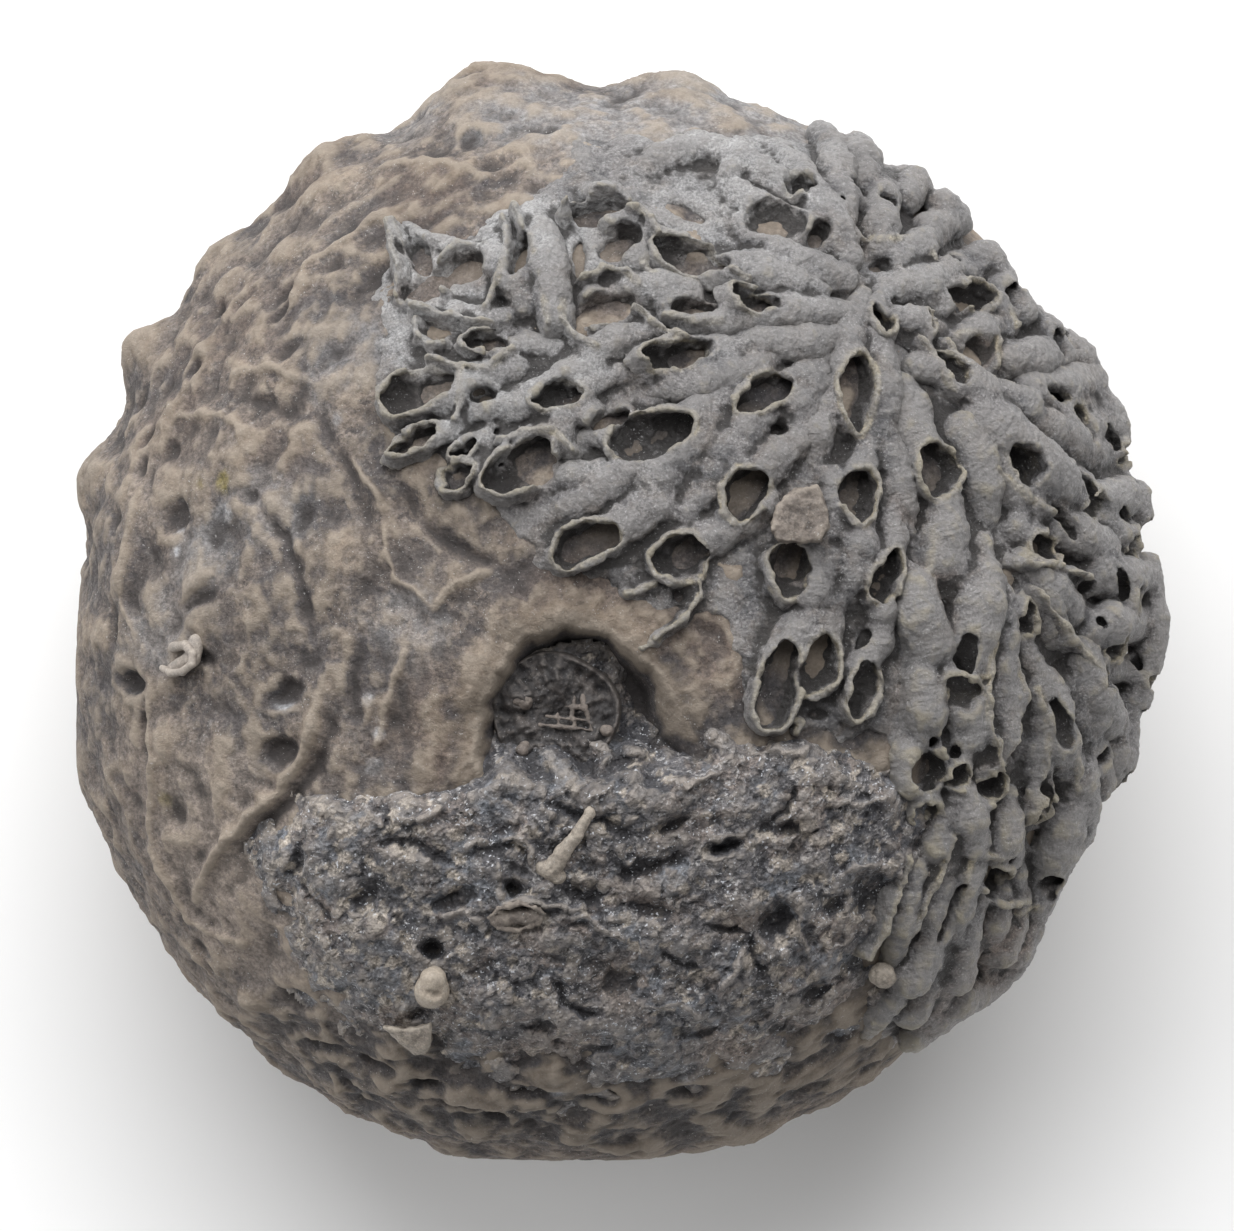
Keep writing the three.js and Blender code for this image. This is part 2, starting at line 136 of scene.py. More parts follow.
# Repeatable unevenness. Each whole-number cell gets its own scrambled number.
def scrambled(cells, seed):
    mask = 0xFFFFFFFF
    number = (cells[..., 0] * 73856093) ^ (cells[..., 1] * 19349663) ^ (cells[..., 2] * 83492791)
    number = (number ^ (seed * 40503)) & mask
    number = ((number ^ (number >> 15)) * 2246822519) & mask
    number = ((number ^ (number >> 13)) * 3266489917) & mask
    return number ^ (number >> 16)


def share(bits, start):
    return ((bits >> start) & 1023) / 1023


def lumps(points, size, seed):
    place = points / size
    cell = np.floor(place).astype(np.int64)
    part = place - cell
    fade = part**3 * (part * (part * 6 - 15) + 10)
    total = np.zeros(len(points))
    for corner in np.ndindex(2, 2, 2):
        bits = scrambled(cell + corner, seed)
        away = part - corner
        slope = sum((2 * share(bits, 10 * axis) - 1) * away[:, axis] for axis in range(3))
        weight = np.prod(np.where(corner, fade, 1 - fade), axis=1)
        total += weight * slope
    return 1.5 * total


def layeredLumps(points, size, seed, layers=3):
    return sum(lumps(points, size / 2**i, seed + i) / 2**i for i in range(layers))


# A push in each direction for every point; None leaves that direction alone.
def pushes(points, size, seeds):
    still = 0 * points[:, 0]
    return np.stack([lumps(points, size, seed) if seed else still for seed in seeds], axis=1)


# Broken stone: distance to the nearest and next grain, and a number for the grain.
def grains(points, size, seed):
    place = points / size
    cell = np.floor(place).astype(np.int64)
    nearest = np.full(len(points), 9.0)
    second = np.full(len(points), 9.0)
    tone = np.zeros(len(points))
    for corner in np.ndindex(3, 3, 3):
        spot = cell + corner - 1
        bits = scrambled(spot, seed)
        seedPoint = spot + np.stack([share(bits, 0), share(bits, 10), share(bits, 20)], axis=1)
        away = np.linalg.norm(place - seedPoint, axis=1)
        closer = away < nearest
        second = np.where(closer, nearest, np.minimum(second, away))
        tone = np.where(closer, share(bits, 5), tone)
        nearest = np.where(closer, away, nearest)
    return nearest, second, tone


def stepUp(value, low, high):
    part = np.clip((value - low) / (high - low), 0, 1)
    return part * part * (3 - 2 * part)


# The cup's plain skin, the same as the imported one: a low dome over a rounded underside.
cup = {
    "top": 24.2,
    "rimHeight": 10.5,
    "radius": 19.35,
    "restShare": 0.47,
    "middle": (-0.73, -0.39),
    "summit": (-1.18, -3.44),
    "power": 2.2,
    "armBaseHeight": 3.2,
    # direction, how far it stands out, half width in degrees
    "armBases": [
        (82, 0.9, 5), (103, 1.75, 7.5), (121, 1.3, 6), (137, 0.95, 5), (150, 1.3, 4.5), (165, 1, 4.5),
        (197, 0.45, 6),
    ],
}


def cupRadius(angle):
    turn = angle - math.radians(240)
    return cup["radius"] + 0.5 * np.cos(2 * turn) + 0.5 * np.cos(turn)


def armBases(angle, height):
    total = 0
    for at, out, half in cup["armBases"]:
        away = (np.degrees(angle) - at + 180) % 360 - 180
        total = total + out * np.exp(-((away / half) ** 2))
    return total * np.exp(-(((height - cup["rimHeight"]) / cup["armBaseHeight"]) ** 2))


# How far the outline is from the summit, by direction.
outlineAngles = np.radians(np.arange(0, 360, 0.5))
outlineX = cup["middle"][0] + cupRadius(outlineAngles) * np.cos(outlineAngles) - cup["summit"][0]
outlineY = cup["middle"][1] + cupRadius(outlineAngles) * np.sin(outlineAngles) - cup["summit"][1]
reachAngles = np.arctan2(outlineY, outlineX)
reachOrder = np.argsort(reachAngles)
reachAngles = reachAngles[reachOrder]
reachLengths = np.hypot(outlineX, outlineY)[reachOrder]


def reachAt(x, y):
    turn = np.arctan2(y - cup["summit"][1], x - cup["summit"][0])
    return np.interp(turn, reachAngles, reachLengths, period=2 * math.pi)


def skinHeight(x, y, lift=0.0):
    out = np.hypot(x - cup["summit"][0], y - cup["summit"][1]) / (reachAt(x, y) + lift)
    rise = cup["top"] - cup["rimHeight"] + lift
    return cup["rimHeight"] + rise * np.sqrt(1 - np.minimum(out, 0.999) ** cup["power"])


# Signed distance to the skin, good within a few millimetres of it.
def skinDistance(x, y, z):
    reach = reachAt(x, y)
    out = np.maximum(np.hypot(x - cup["summit"][0], y - cup["summit"][1]) / reach, 0.02)
    rise = cup["top"] - cup["rimHeight"]
    up = (z - cup["rimHeight"]) / rise
    over = out ** cup["power"] + up**2 - 1
    overSlope = np.sqrt((cup["power"] * out ** (cup["power"] - 1) / reach) ** 2 + (2 * up / rise) ** 2)
    span = 1 - cup["restShare"]
    side = np.maximum((out - cup["restShare"]) / span, 0.02)
    down = 1 - z / cup["rimHeight"]
    under = side**2 + down**2 - 1
    underSlope = np.sqrt((2 * side / (span * reach)) ** 2 + (2 * down / cup["rimHeight"]) ** 2)
    return np.where(up > 0, over / overSlope, under / underSlope)


def skinPoint(x, y, lift=0.0):
    return np.array([x, y, float(skinHeight(np.float64(x), np.float64(y), lift))])


def skinNormal(point):
    step = 0.05
    slope = []
    for axis in range(3):
        ahead, behind = np.array(point, float), np.array(point, float)
        ahead[axis] += step
        behind[axis] -= step
        slope.append(float(skinDistance(*ahead) - skinDistance(*behind)))
    return np.array(slope) / np.linalg.norm(slope)


# A spot on the skin with its own axes: along the plan direction, across it and straight out.
def spotOn(x, y, lift=0.0, turn=0.0, lean=0.0):
    middle = skinPoint(x, y, lift)
    out = skinNormal(middle)
    along = np.array([math.cos(math.radians(turn)), math.sin(math.radians(turn)), 0])
    along = along - out * (along @ out)
    along /= np.linalg.norm(along)
    across = np.cross(out, along)
    tip = math.radians(lean)
    leaned = along * math.cos(tip) - out * math.sin(tip)
    return middle, leaned, across, out * math.cos(tip) + along * math.sin(tip)


# How far places are from a middle, measured along each of the given directions.
def measuredAlong(x, y, z, middle, *directions):
    px, py, pz = x - middle[0], y - middle[1], z - middle[2]
    return [px * way[0] + py * way[1] + pz * way[2] for way in directions]


# Distance from points to a line of points, and how far along the line the nearest place is.
def lineDistance(points, line):
    best = np.full(len(points), 1e3)
    place = np.zeros(len(points))
    for i, (start, end) in enumerate(zip(line[:-1], line[1:])):
        span = end - start
        part = np.clip((points - start) @ span / max(span @ span, 1e-9), 0, 1)
        away = np.linalg.norm(points - start - part[:, None] * span, axis=1)
        closer = away < best
        best = np.where(closer, away, best)
        place = np.where(closer, (i + part) / (len(line) - 1), place)
    return best, place


# Signed distance to a closed plan outline, negative inside.
def outlineDistance(x, y, outline):
    best = np.full(np.broadcast(x, y).shape, 1e3)
    inside = np.zeros(best.shape, bool)
    for (ax, ay), (bx, by) in zip(outline, outline[1:] + outline[:1]):
        dx, dy = bx - ax, by - ay
        part = np.clip(((x - ax) * dx + (y - ay) * dy) / max(dx * dx + dy * dy, 1e-9), 0, 1)
        best = np.minimum(best, np.hypot(x - ax - part * dx, y - ay - part * dy))
        crosses = ((ay > y) != (by > y)) & (x < dx * (y - ay) / (by - ay if by != ay else 1e-9) + ax)
        inside ^= crosses
    return np.where(inside, -best, best)


def meshPiece(name, points, triangles):
    mesh = bpy.data.meshes.new(name)
    mesh.vertices.add(len(points))
    mesh.vertices.foreach_set("co", (points * mm).astype(np.float32).ravel())
    mesh.loops.add(triangles.size)
    mesh.loops.foreach_set("vertex_index", triangles.astype(np.int32).ravel())
    mesh.polygons.add(len(triangles))
    mesh.polygons.foreach_set("loop_start", np.arange(0, triangles.size, 3, dtype=np.int32))
    mesh.update(calc_edges=True)
    piece = bpy.data.objects.new(name, mesh)
    bpy.context.scene.collection.objects.link(piece)
    return piece


# Eases points that would leave the part's overall box back inside it.
def keptInside(points, margin=0.45, give=0.4):
    points = points.copy()
    for axis in range(2):
        for sign, limit in ((1, cadHigh[axis] / mm), (-1, -cadLow[axis] / mm)):
            over = np.maximum(sign * points[:, axis] - (limit - margin), 0)
            points[:, axis] -= sign * (over - give * np.tanh(over / give))
    return points


def pointsOf(mesh):
    flat = np.zeros(len(mesh.vertices) * 3, np.float32)
    mesh.vertices.foreach_get("co", flat)
    return flat.reshape(-1, 3).astype(np.float64) / mm


def normalsOf(mesh):
    flat = np.zeros(len(mesh.vertices) * 3, np.float32)
    mesh.vertex_normals.foreach_get("vector", flat)
    return flat.reshape(-1, 3).astype(np.float64)


# Fewer triangles where the surface is plain, the same ones where it is rough.
def thinOut(piece, most):
    count = len(piece.data.polygons)
    if count <= most:
        return
    thinner = piece.modifiers.new("thinner", "DECIMATE")
    thinner.ratio = most / count
    settled = bpy.context.evaluated_depsgraph_get()
    mesh = bpy.data.meshes.new_from_object(piece.evaluated_get(settled))
    piece.modifiers.clear()
    old = piece.data
    piece.data = mesh
    bpy.data.meshes.remove(old)


# Values blended with those of the points next to them, over and over.
def averaged(values, edges, passes, pull=0.6):
    count = len(values)
    degree = np.maximum(np.bincount(edges.ravel(), minlength=count), 1)
    for _ in range(passes):
        total = np.stack([
            np.bincount(edges[:, 0], values[edges[:, 1], axis], count)
            + np.bincount(edges[:, 1], values[edges[:, 0], axis], count)
            for axis in range(values.shape[1])
        ], axis=1)
        values = (1 - pull) * values + pull * total / degree[:, None]
    return values


def addValues(mesh, name, values):
    mesh.attributes.new(name, "FLOAT", "POINT")
    mesh.attributes[name].data.foreach_set("value", values.astype(np.float32))


# Height of each point over its surroundings, near (edge) and far (hollow), for the stone's colours.
def markRelief(piece, edgeSize=0.05, hollowSize=0.25):
    mesh = piece.data
    edges = np.zeros(len(mesh.edges) * 2, np.int32)
    mesh.edges.foreach_get("vertices", edges)
    edges = edges.reshape(-1, 2)
    points = pointsOf(mesh)
    normals = normalsOf(mesh)
    near = averaged(points, edges, 5)
    far = averaged(near, edges, 45)
    edge = np.sum((points - near) * normals, axis=1) / edgeSize
    hollow = np.sum((points - far) * normals, axis=1) / hollowSize
    addValues(mesh, "edge", averaged(edge[:, None], edges, 1)[:, 0])
    addValues(mesh, "hollow", hollow)


# Paint patches: how strongly each listed spot colours each point, from 0 to 1.
def patchwork(points, spots, seed):
    total = np.zeros(len(points))
    wobble = layeredLumps(points, 1.6, seed)
    for x, y, radius, strength in spots:
        away = np.linalg.norm(points - skinPoint(x, y), axis=1) / radius
        total = np.maximum(total, strength * stepUp(-away - 0.45 * wobble, -1.25, -0.55))
    return total


def finishPiece(piece, nodes, material, most):
    thinOut(piece, most)
    piece.data.shade_smooth()
    markRelief(piece)
    piece.data.materials.clear()
    piece.data.materials.append(material)
    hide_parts(*nodes)
    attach(piece, "root")
    print(piece.name, len(piece.data.polygons), "triangles")


# Fine growth rings: waves by distance from the point where the coral began.
def ringsAround(nodes, links, place, uneven, period, unevenness=14):
    away = nodes.new("ShaderNodeVectorMath")
    away.operation = "DISTANCE"
    links.new(place, away.inputs[0])
    away.inputs[1].default_value = skinPoint(*hub) * mm
    count = nodes.new("ShaderNodeMath")
    count.operation = "MULTIPLY_ADD"
    links.new(away.outputs["Value"], count.inputs[0])
    count.inputs[1].default_value = 2 * math.pi / (period * mm)
    shift = nodes.new("ShaderNodeMath")
    shift.operation = "MULTIPLY"
    links.new(uneven, shift.inputs[0])
    shift.inputs[1].default_value = unevenness
    links.new(shift.outputs["Value"], count.inputs[2])
    wave = nodes.new("ShaderNodeMath")
    wave.operation = "SINE"
    links.new(count.outputs["Value"], wave.inputs[0])
    return wave.outputs["Value"]


# Small broken crystals: one brightness for each cell, and its depth.
def crystals(nodes, links, place, size):
    cells = nodes.new("ShaderNodeTexVoronoi")
    links.new(place, cells.inputs["Vector"])
    cells.inputs["Scale"].default_value = 1000 / size
    cells.inputs["Detail"].default_value = 1
    parts = nodes.new("ShaderNodeSeparateColor")
    links.new(cells.outputs["Color"], parts.inputs["Color"])
    return parts.outputs["Red"], cells.outputs["Distance"]


# What the stones share unless a stone's own look says otherwise. Colours are linear.
anyStone = {
    "paints": {},                       # colours of the painted patches
    "gritSize": 0.1, "grit": 0.35,      # fine mottling
    "facetSize": 0.25, "facets": 0.12,  # small crystals
    # High ground turns pale: partly wear, partly a painted highlight.
    "crest": 0.4, "crestTo": 0.45,      # how strongly high ground turns pale
    # Hollows darken: partly dirt, partly painted shade.
    "hollowDepth": 0.8, "hollowTo": -0.6,
    "edgeFrom": (0.2, 1.1), "edgeWear": 0.4,
    "speckSize": 0.09, "speckFrom": 0.71, "speck": 0.4, "glint": (0.5, 0.5, 0.5),
    "roughness": (0.55, 0.8), "sheen": 0.4, "bump": 0.8, "bumpHeight": 0.06, "bumpSize": 0.18,
}


def stoneMaterial(name, ownLook):
    look = {**anyStone, **ownLook}
    material = bpy.data.materials.new(name)
    material.use_nodes = True
    nodes, links = material.node_tree.nodes, material.node_tree.links
    shader = nodes["Principled BSDF"]
    place = nodes.new("ShaderNodeTexCoord").outputs["Object"]

    def noise(size, detail, roughness=0.6, distortion=0.0):
        node = nodes.new("ShaderNodeTexNoise")
        links.new(place, node.inputs["Vector"])
        node.inputs["Scale"].default_value = 1000 / size
        node.inputs["Detail"].default_value = detail
        node.inputs["Roughness"].default_value = roughness
        node.inputs["Distortion"].default_value = distortion
        return node.outputs["Fac"]

    def ranged(value, low, high, to=(0, 1)):
        node = nodes.new("ShaderNodeMapRange")
        links.new(value, node.inputs["Value"])
        node.inputs["From Min"].default_value = low
        node.inputs["From Max"].default_value = high
        node.inputs["To Min"].default_value, node.inputs["To Max"].default_value = to
        return node.outputs["Result"]

    def times(first, second):
        node = nodes.new("ShaderNodeMath")
        node.operation = "MULTIPLY"
        for socket, value in zip(node.inputs, (first, second)):
            if isinstance(value, (int, float)):
                socket.default_value = value
            else:
                links.new(value, socket)
        return node.outputs["Value"]

    def mixed(factor, first, second, blend="MIX"):
        node = nodes.new("ShaderNodeMix")
        node.data_type = "RGBA"
        node.blend_type = blend
        if isinstance(factor, float):
            node.inputs["Factor"].default_value = factor
        else:
            links.new(factor, node.inputs["Factor"])
        for socket, value in ((node.inputs["A"], first), (node.inputs["B"], second)):
            if isinstance(value, tuple):
                socket.default_value = (*value, 1)
            else:
                links.new(value, socket)
        return [out for out in node.outputs if out.type == "RGBA"][0]

    def measured(attribute):
        node = nodes.new("ShaderNodeAttribute")
        node.attribute_name = attribute
        return node.outputs["Fac"]

    colour = look["main"]
    for size, detail, low, high, paint, strength in look["layers"]:
        colour = mixed(ranged(noise(size, detail, 0.72, 0.3), low, high, (0, strength)), colour, paint)
    for attribute, paint in look["paints"].items():
        uneven = ranged(noise(0.7, 6, 0.75), 0.35, 0.62, (0.35, 1))
        colour = mixed(times(measured(attribute), uneven), colour, paint)
    grit = ranged(noise(look["gritSize"], 3, 0.75), 0.36, 0.64, (1 - look["grit"], 1 + look["grit"]))
    colour = mixed(1.0, colour, grit, "MULTIPLY")
    facets, facetDepth = crystals(nodes, links, place, look["facetSize"])
    strength = look["facets"]
    colour = mixed(1.0, colour, ranged(facets, 0.1, 0.9, (1 - strength, 1 + strength)), "MULTIPLY")
    # Painted highlight and wear: high ground turns towards the pale colour.
    crest = ranged(measured("hollow"), 0.03, look["crestTo"], (0, look["crest"]))
    colour = mixed(crest, colour, look["pale"])
    # Hollows darken towards the dark colour: partly dirt, partly painted shade where less light reaches.
    shadeAndDirt = ranged(measured("hollow"), -0.03, look["hollowTo"], (0, look["hollowDepth"]))
    colour = mixed(shadeAndDirt, colour, look["shadeAndDirt"])
    colour = mixed(times(ranged(measured("edge"), *look["edgeFrom"]), look["edgeWear"]), colour, look["worn"])
    specks = ranged(noise(look["speckSize"], 1, 0.5), look["speckFrom"], look["speckFrom"] + 0.02)
    specks = times(specks, ranged(noise(1.6, 4, 0.7), 0.46, 0.58, (0.15, 1)))
    colour = mixed(times(specks, look["speck"]), colour, look["glint"])
    links.new(colour, shader.inputs["Base Color"])
    links.new(ranged(noise(0.5, 3), 0.3, 0.7, look["roughness"]), shader.inputs["Roughness"])
    shader.inputs["Specular IOR Level"].default_value = look["sheen"]
    bump = nodes.new("ShaderNodeBump")
    bump.inputs["Strength"].default_value = look["bump"]
    bump.inputs["Distance"].default_value = look["bumpHeight"] * mm
    height = noise(look["bumpSize"], 6, 0.7)
    if "rings" in look:
        rings = ringsAround(nodes, links, place, noise(0.9, 3), look["rings"])
        height = mixed(look["ringShare"], height, rings)
    if strength > 0.2:
        height = mixed(0.5, height, facetDepth)
    links.new(height, bump.inputs["Height"])
    links.new(bump.outputs["Normal"], shader.inputs["Normal"])
    return material


# The cup itself. Places are plan points; bosses and dents are x, y, half length, half width,
# direction in degrees and height; ridges are height, width and a line of plan points.
cupStone = {
    "sectors": 620,
    "upperRings": 250,
    "lowerRings": 64,
    "fineFrom": 75,
    "fineTo": 268,
    "fineness": 2.6,
    "faces": 194000,
    # heights of each kind of unevenness
    "relief": {
        "swell": 0.24, "lump": 0.17, "grain": 0.07, "valley": 0.2,
        "crease": 0.08, "crest": 0.15, "fineCrest": 0.04,
        "nearRough": 0.28, "nearPit": 0.12, "nearGrain": 0.14, "farWrinkle": 0.05,
    },
    "pit": {
        "outline": [
            (-4.9, -3.6), (-4.5, -2.6), (-3.4, -1.4), (-2.2, -0.9), (-0.7, -1.3), (0.7, -2.5), (1.7, -4.1),
            (2.5, -5.4), (1.5, -7), (-4.4, -7), (-5.1, -5.4),
        ],
        "floor": 21.75,
        "slant": 0.8,       # width of the steep wall
        "gentler": 1.3,     # how much wider it is on the right side
        "lip": 0.2,         # how far the edge rolls in
    },
    "bosses": [
        (-15.6, -0.9, 0.8, 0.75, 0, 0.45), (-15.3, 0.95, 0.85, 0.6, 10, 0.5),
        (-14, -1.9, 0.35, 0.35, 0, 0.2), (-15.3, 9.1, 0.35, 0.3, 0, 0.3), (-13.6, -14.2, 0.5, 0.4, 20, 0.35),
        (-5.9, -17.6, 0.9, 0.6, 0, 0.4), (-8.7, -17.1, 0.6, 0.5, 0, 0.35), (-10, -17.6, 0.6, 0.5, 0, 0.3),
        (-7, -5, 1.6, 0.9, 60, 0.2), (-13, 0, 1.3, 0.7, 70, 0.2), (-10.5, 1.5, 1.4, 0.9, 100, 0.2),
        (-16.5, 12.6, 0.9, 0.5, 40, 0.3), (-13, 14.6, 1, 0.6, 35, 0.3), (-7.5, 14.8, 1.1, 0.8, 20, 0.25),
        (-11, 10, 1.3, 0.7, 30, 0.25), (-14, 5.6, 1.2, 0.8, 60, 0.25), (-11.8, 6, 1.1, 0.7, 120, 0.2),
        (-18.2, 1, 0.8, 0.5, 90, 0.3), (-16.8, -4.6, 1, 0.5, 95, 0.25), (-13.6, -4, 1.2, 0.7, 80, 0.2),
        (-14.5, -6.4, 1, 0.7, 60, 0.25), (-11.2, -3.6, 0.9, 0.6, 80, 0.2),
    ],
    "dents": [
        (-18.1, -2.7, 0.75, 0.42, 0, 0.8), (-16.5, 3.3, 0.7, 0.6, 0, 0.5), (-12.4, -3.2, 0.7, 0.45, 20, 0.6),
        (-12.6, -5.3, 0.75, 0.5, 20, 0.7), (-14.7, 2.8, 0.85, 0.8, 0, 0.35),
        (-15.6, -1.9, 0.8, 0.3, 0, 0.35), (-15.4, 0.3, 0.8, 0.25, 5, 0.4), (-17.6, 7.3, 0.5, 0.35, 30, 0.35),
        (-16.8, 8.3, 0.5, 0.35, 40, 0.35), (-17.4, 6.1, 0.45, 0.3, 20, 0.35),
        (-16.6, 5.6, 0.5, 0.35, 30, 0.3), (-17.6, 5, 0.4, 0.3, 0, 0.3), (-12.6, 10.6, 0.5, 0.3, 40, 0.35),
        (-12.4, 11.3, 0.4, 0.3, 40, 0.3), (-13.9, 11, 0.5, 0.3, 40, 0.3), (-14.8, 10.8, 0.4, 0.3, 40, 0.3),
        (-10.5, 12.4, 0.5, 0.35, 30, 0.35), (-15.6, 8.55, 0.5, 0.3, 20, 0.4), (-9, 12, 0.7, 0.5, 30, 0.4),
        (-12.3, 9.2, 0.55, 0.45, 20, 0.4), (-16.5, 10.4, 0.9, 0.4, 45, 0.5),
        (-5.5, 18.9, 0.6, 0.35, 10, 0.4), (-5.6, 16.8, 0.5, 0.35, 100, 0.5),
        (-2.7, 17.3, 0.35, 0.25, 0, 0.3), (-12.2, -14.3, 0.9, 0.5, 20, 0.5),
        (-11.2, -16.1, 0.7, 0.35, 30, 0.6), (-9, -16.8, 0.7, 0.35, 20, 0.6),
        (-10.1, -17.5, 0.5, 0.3, 20, 0.5), (-7.2, -17.3, 0.6, 0.35, 10, 0.6),
        (-6.2, -18.1, 0.8, 0.3, 10, 0.5), (-3.5, -17.6, 0.8, 0.35, 5, 0.5), (-0.8, -17.8, 0.7, 0.35, 0, 0.5),
        (2.2, -17.6, 0.8, 0.35, -5, 0.5), (5.2, -16.9, 0.7, 0.35, -15, 0.5),
        (7.8, -15.6, 0.6, 0.35, -30, 0.5), (-4.8, -18.6, 0.6, 0.3, 5, 0.4), (-9.3, 0.6, 0.8, 0.5, 70, 0.25),
        (-11.7, 3.4, 0.7, 0.5, 60, 0.3), (-8, 3.4, 0.6, 0.4, 110, 0.25), (-13.3, -8, 0.8, 0.4, 45, 0.3),
        (-16.4, -7.4, 0.8, 0.5, 80, 0.3), (-15.4, -12.4, 0.6, 0.4, 0, 0.3), (-13.8, 4, 0.5, 0.4, 0, 0.25),
        (-18.6, -0.6, 0.6, 0.35, 80, 0.3), (-18.4, 3.2, 0.6, 0.35, 80, 0.3),
    ],
    "ridges": [
        (0.3, 0.3, [(-17.2, -3), (-17.4, -4.5), (-17.1, -5.6), (-17.2, -9)]),
        (0.32, 0.32, [(-11, -3), (-11.5, -5), (-12.5, -6.5), (-14.5, -8.5), (-15.5, -10)]),
        (0.28, 0.2, [(-10.1, 5.4), (-9.4, 4.5), (-8.9, 3.9)]),
        (0.25, 0.2, [(-8.8, 2.8), (-8.4, 1.05), (-7, 0)]),
        (0.25, 0.22, [(-7.9, -1.3), (-8.6, -3.2), (-9.1, -5.1)]),
        (0.3, 0.3, [(-15.9, -11.3), (-16.6, -9.8), (-17.1, -8.9)]),
        (0.3, 0.28, [(-15.9, -11.3), (-14.7, -8.7), (-12.5, -6.75)]),
        (0.28, 0.26, [(-15.9, -11.3), (-14.6, -12), (-13.8, -12.2)]),
        (0.25, 0.22, [(-15.7, -12.5), (-15, -13.4)]), (0.35, 0.3, [(-10.9, -17), (-10.3, -17.5)]),
        (0.3, 0.3, [(-8.7, 14.2), (-10, 13.3), (-12, 12)]),
        (0.25, 0.3, [(-17.8, -1.2), (-18.2, 0.2), (-18, 2), (-17.6, 4)]),
        (0.22, 0.25, [(-14.2, 8.4), (-12.8, 8.6), (-11.2, 8)]),
        (0.22, 0.25, [(-16.4, 6.8), (-15, 7), (-13.6, 6.4)]),
        (0.2, 0.22, [(-5, 1.4), (-6.4, 0.6), (-7, 0)]),
        (0.25, 0.3, [(-3.2, 16.2), (-5.2, 15.6), (-7.6, 16), (-9.6, 15.6)]),
    ],
    "grooves": [
        (0.35, 0.25, [(-13.4, 3.8), (-12.4, 2.4), (-11.8, 1.05), (-11.4, -0.9)]),
        (0.5, 0.3, [(-17.6, -4), (-17.5, -5.5)]),
        (0.3, 0.3, [(-10.6, -3.8), (-11, -5.3), (-12, -6.9), (-13.8, -8.8)]),
        (0.3, 0.35, [(-13.7, 7.5), (-12, 7)]),
        (0.3, 0.3, [(-11.2, 7.2), (-10.4, 5.6), (-9.6, 4.2), (-9.2, 2.8)]),
        (0.28, 0.25, [(-8.3, 4.6), (-7.4, 3), (-6, 2), (-4.6, 1.3)]),
        (0.25, 0.3, [(-9.6, -1), (-9.9, -2.6), (-9.7, -4.4)]),
        (0.35, 0.35, [(-9.2, 17), (-7.6, 17.8), (-6.6, 17.4), (-4.4, 18.2)]),
        (0.3, 0.3, [(0.5, 16.6), (1.5, 16.4), (2.5, 16.7)]),
        (0.3, 0.35, [(-13, 12.8), (-14.4, 12), (-15.6, 10.8)]),
    ],
    "dark": [
        (-17, 9.7, 0.6, 1), (-16, 10.9, 0.7, 1), (-18.1, -2.7, 0.9, 1), (-5.5, 18.9, 0.7, 1),
        (-12.2, -14.3, 1.2, 0.8), (-11.2, -16.1, 0.9, 0.9), (-9, -16.8, 0.9, 0.9), (-7.2, -17.3, 0.9, 0.9),
        (-12.4, -3.2, 0.9, 0.7), (-12.6, -5.3, 0.9, 0.7), (-11.5, 0.6, 1.8, 0.5), (-10.5, 4.2, 1.8, 0.45),
        (-14, -1.4, 2.2, 0.4), (-15.4, -1, 1.2, 0.6), (-12.5, -15.5, 1, 0.7), (-6, 3.2, 1.8, 0.6),
        (-7, 1.2, 1.8, 0.45), (-4, -17.8, 1.6, 0.8), (0.5, -17.9, 2, 0.8), (5, -17.2, 2, 0.8),
        (-8.6, -17.9, 1.2, 0.7), (-10, 10.8, 1.6, 0.5), (-13.8, 13.4, 1.2, 0.4), (-3, 17.2, 1.6, 0.5),
        (-5.6, 16.8, 0.7, 0.8), (-14, -16, 1.6, 0.6), (-1.4, -18.8, 1.8, 0.7), (-9.4, -2.6, 1.6, 0.35),
        (-9, -17.4, 2.6, 0.6), (-5, -18, 2.6, 0.6), (0, -18.2, 3, 0.65), (4.6, -17.6, 2.6, 0.6),
        (8.6, -15.6, 2.4, 0.8), (-14.4, 4, 1.2, 0.35), (6.6, -5, 2.2, 0.9), (3.4, -4.6, 1.2, 0.6),
        (-6.2, -1.2, 1.2, 0.45), (-4, 1, 1.1, 0.35), (-5.6, -6, 0.9, 0.4), (1.4, 0.4, 0.9, 0.3),
        (9.4, -7.6, 1.8, 0.9), (9.2, -11, 1.8, 0.9), (8.6, -13.4, 1.8, 0.8), (-9, 5.6, 1.2, 0.5),
        (-15, 2.4, 1.6, 0.45), (-13.6, -2.6, 1.8, 0.4), (-17.6, 0.6, 1.4, 0.4), (-12.4, -10.4, 1.6, 0.35),
    ],
    "light": [
        (-15, -8.4, 3.6, 1), (-14.2, -11, 2.8, 0.8), (-12.6, -12.2, 2.8, 0.7), (-17.4, -5.6, 2, 0.6),
        (-11, -14.6, 1.6, 0.4), (-17.4, 4.4, 1.6, 0.4),
    ],
    "yellow": [(-15.4, 4.4, 0.3, 0.9), (-14.5, 4.5, 0.35, 0.8), (-16.8, -7, 0.35, 0.6)],
    "white": [
        (-16.3, 2.9, 0.25, 1), (-16.4, 2, 0.22, 1), (-12.4, -3.4, 0.42, 0.8), (-12.6, -5.2, 0.42, 0.8),
        (-9.4, -3.4, 0.3, 0.6), (-9, -4.6, 0.3, 0.6), (-9.2, -5.8, 0.3, 0.5), (-14.6, 3.4, 0.4, 0.5),
        (-5.9, -17.9, 0.35, 0.7), (2.2, -17.2, 0.4, 0.5), (-2.6, -17.4, 0.4, 0.5), (-10.6, 6.8, 0.35, 0.5),
    ],
    "grey": [
        (-7.6, 18, 2.4, 0.5), (0, 17.6, 4.5, 0.8), (5, 18.6, 4.5, 0.8), (-4, 17.8, 2.6, 0.6),
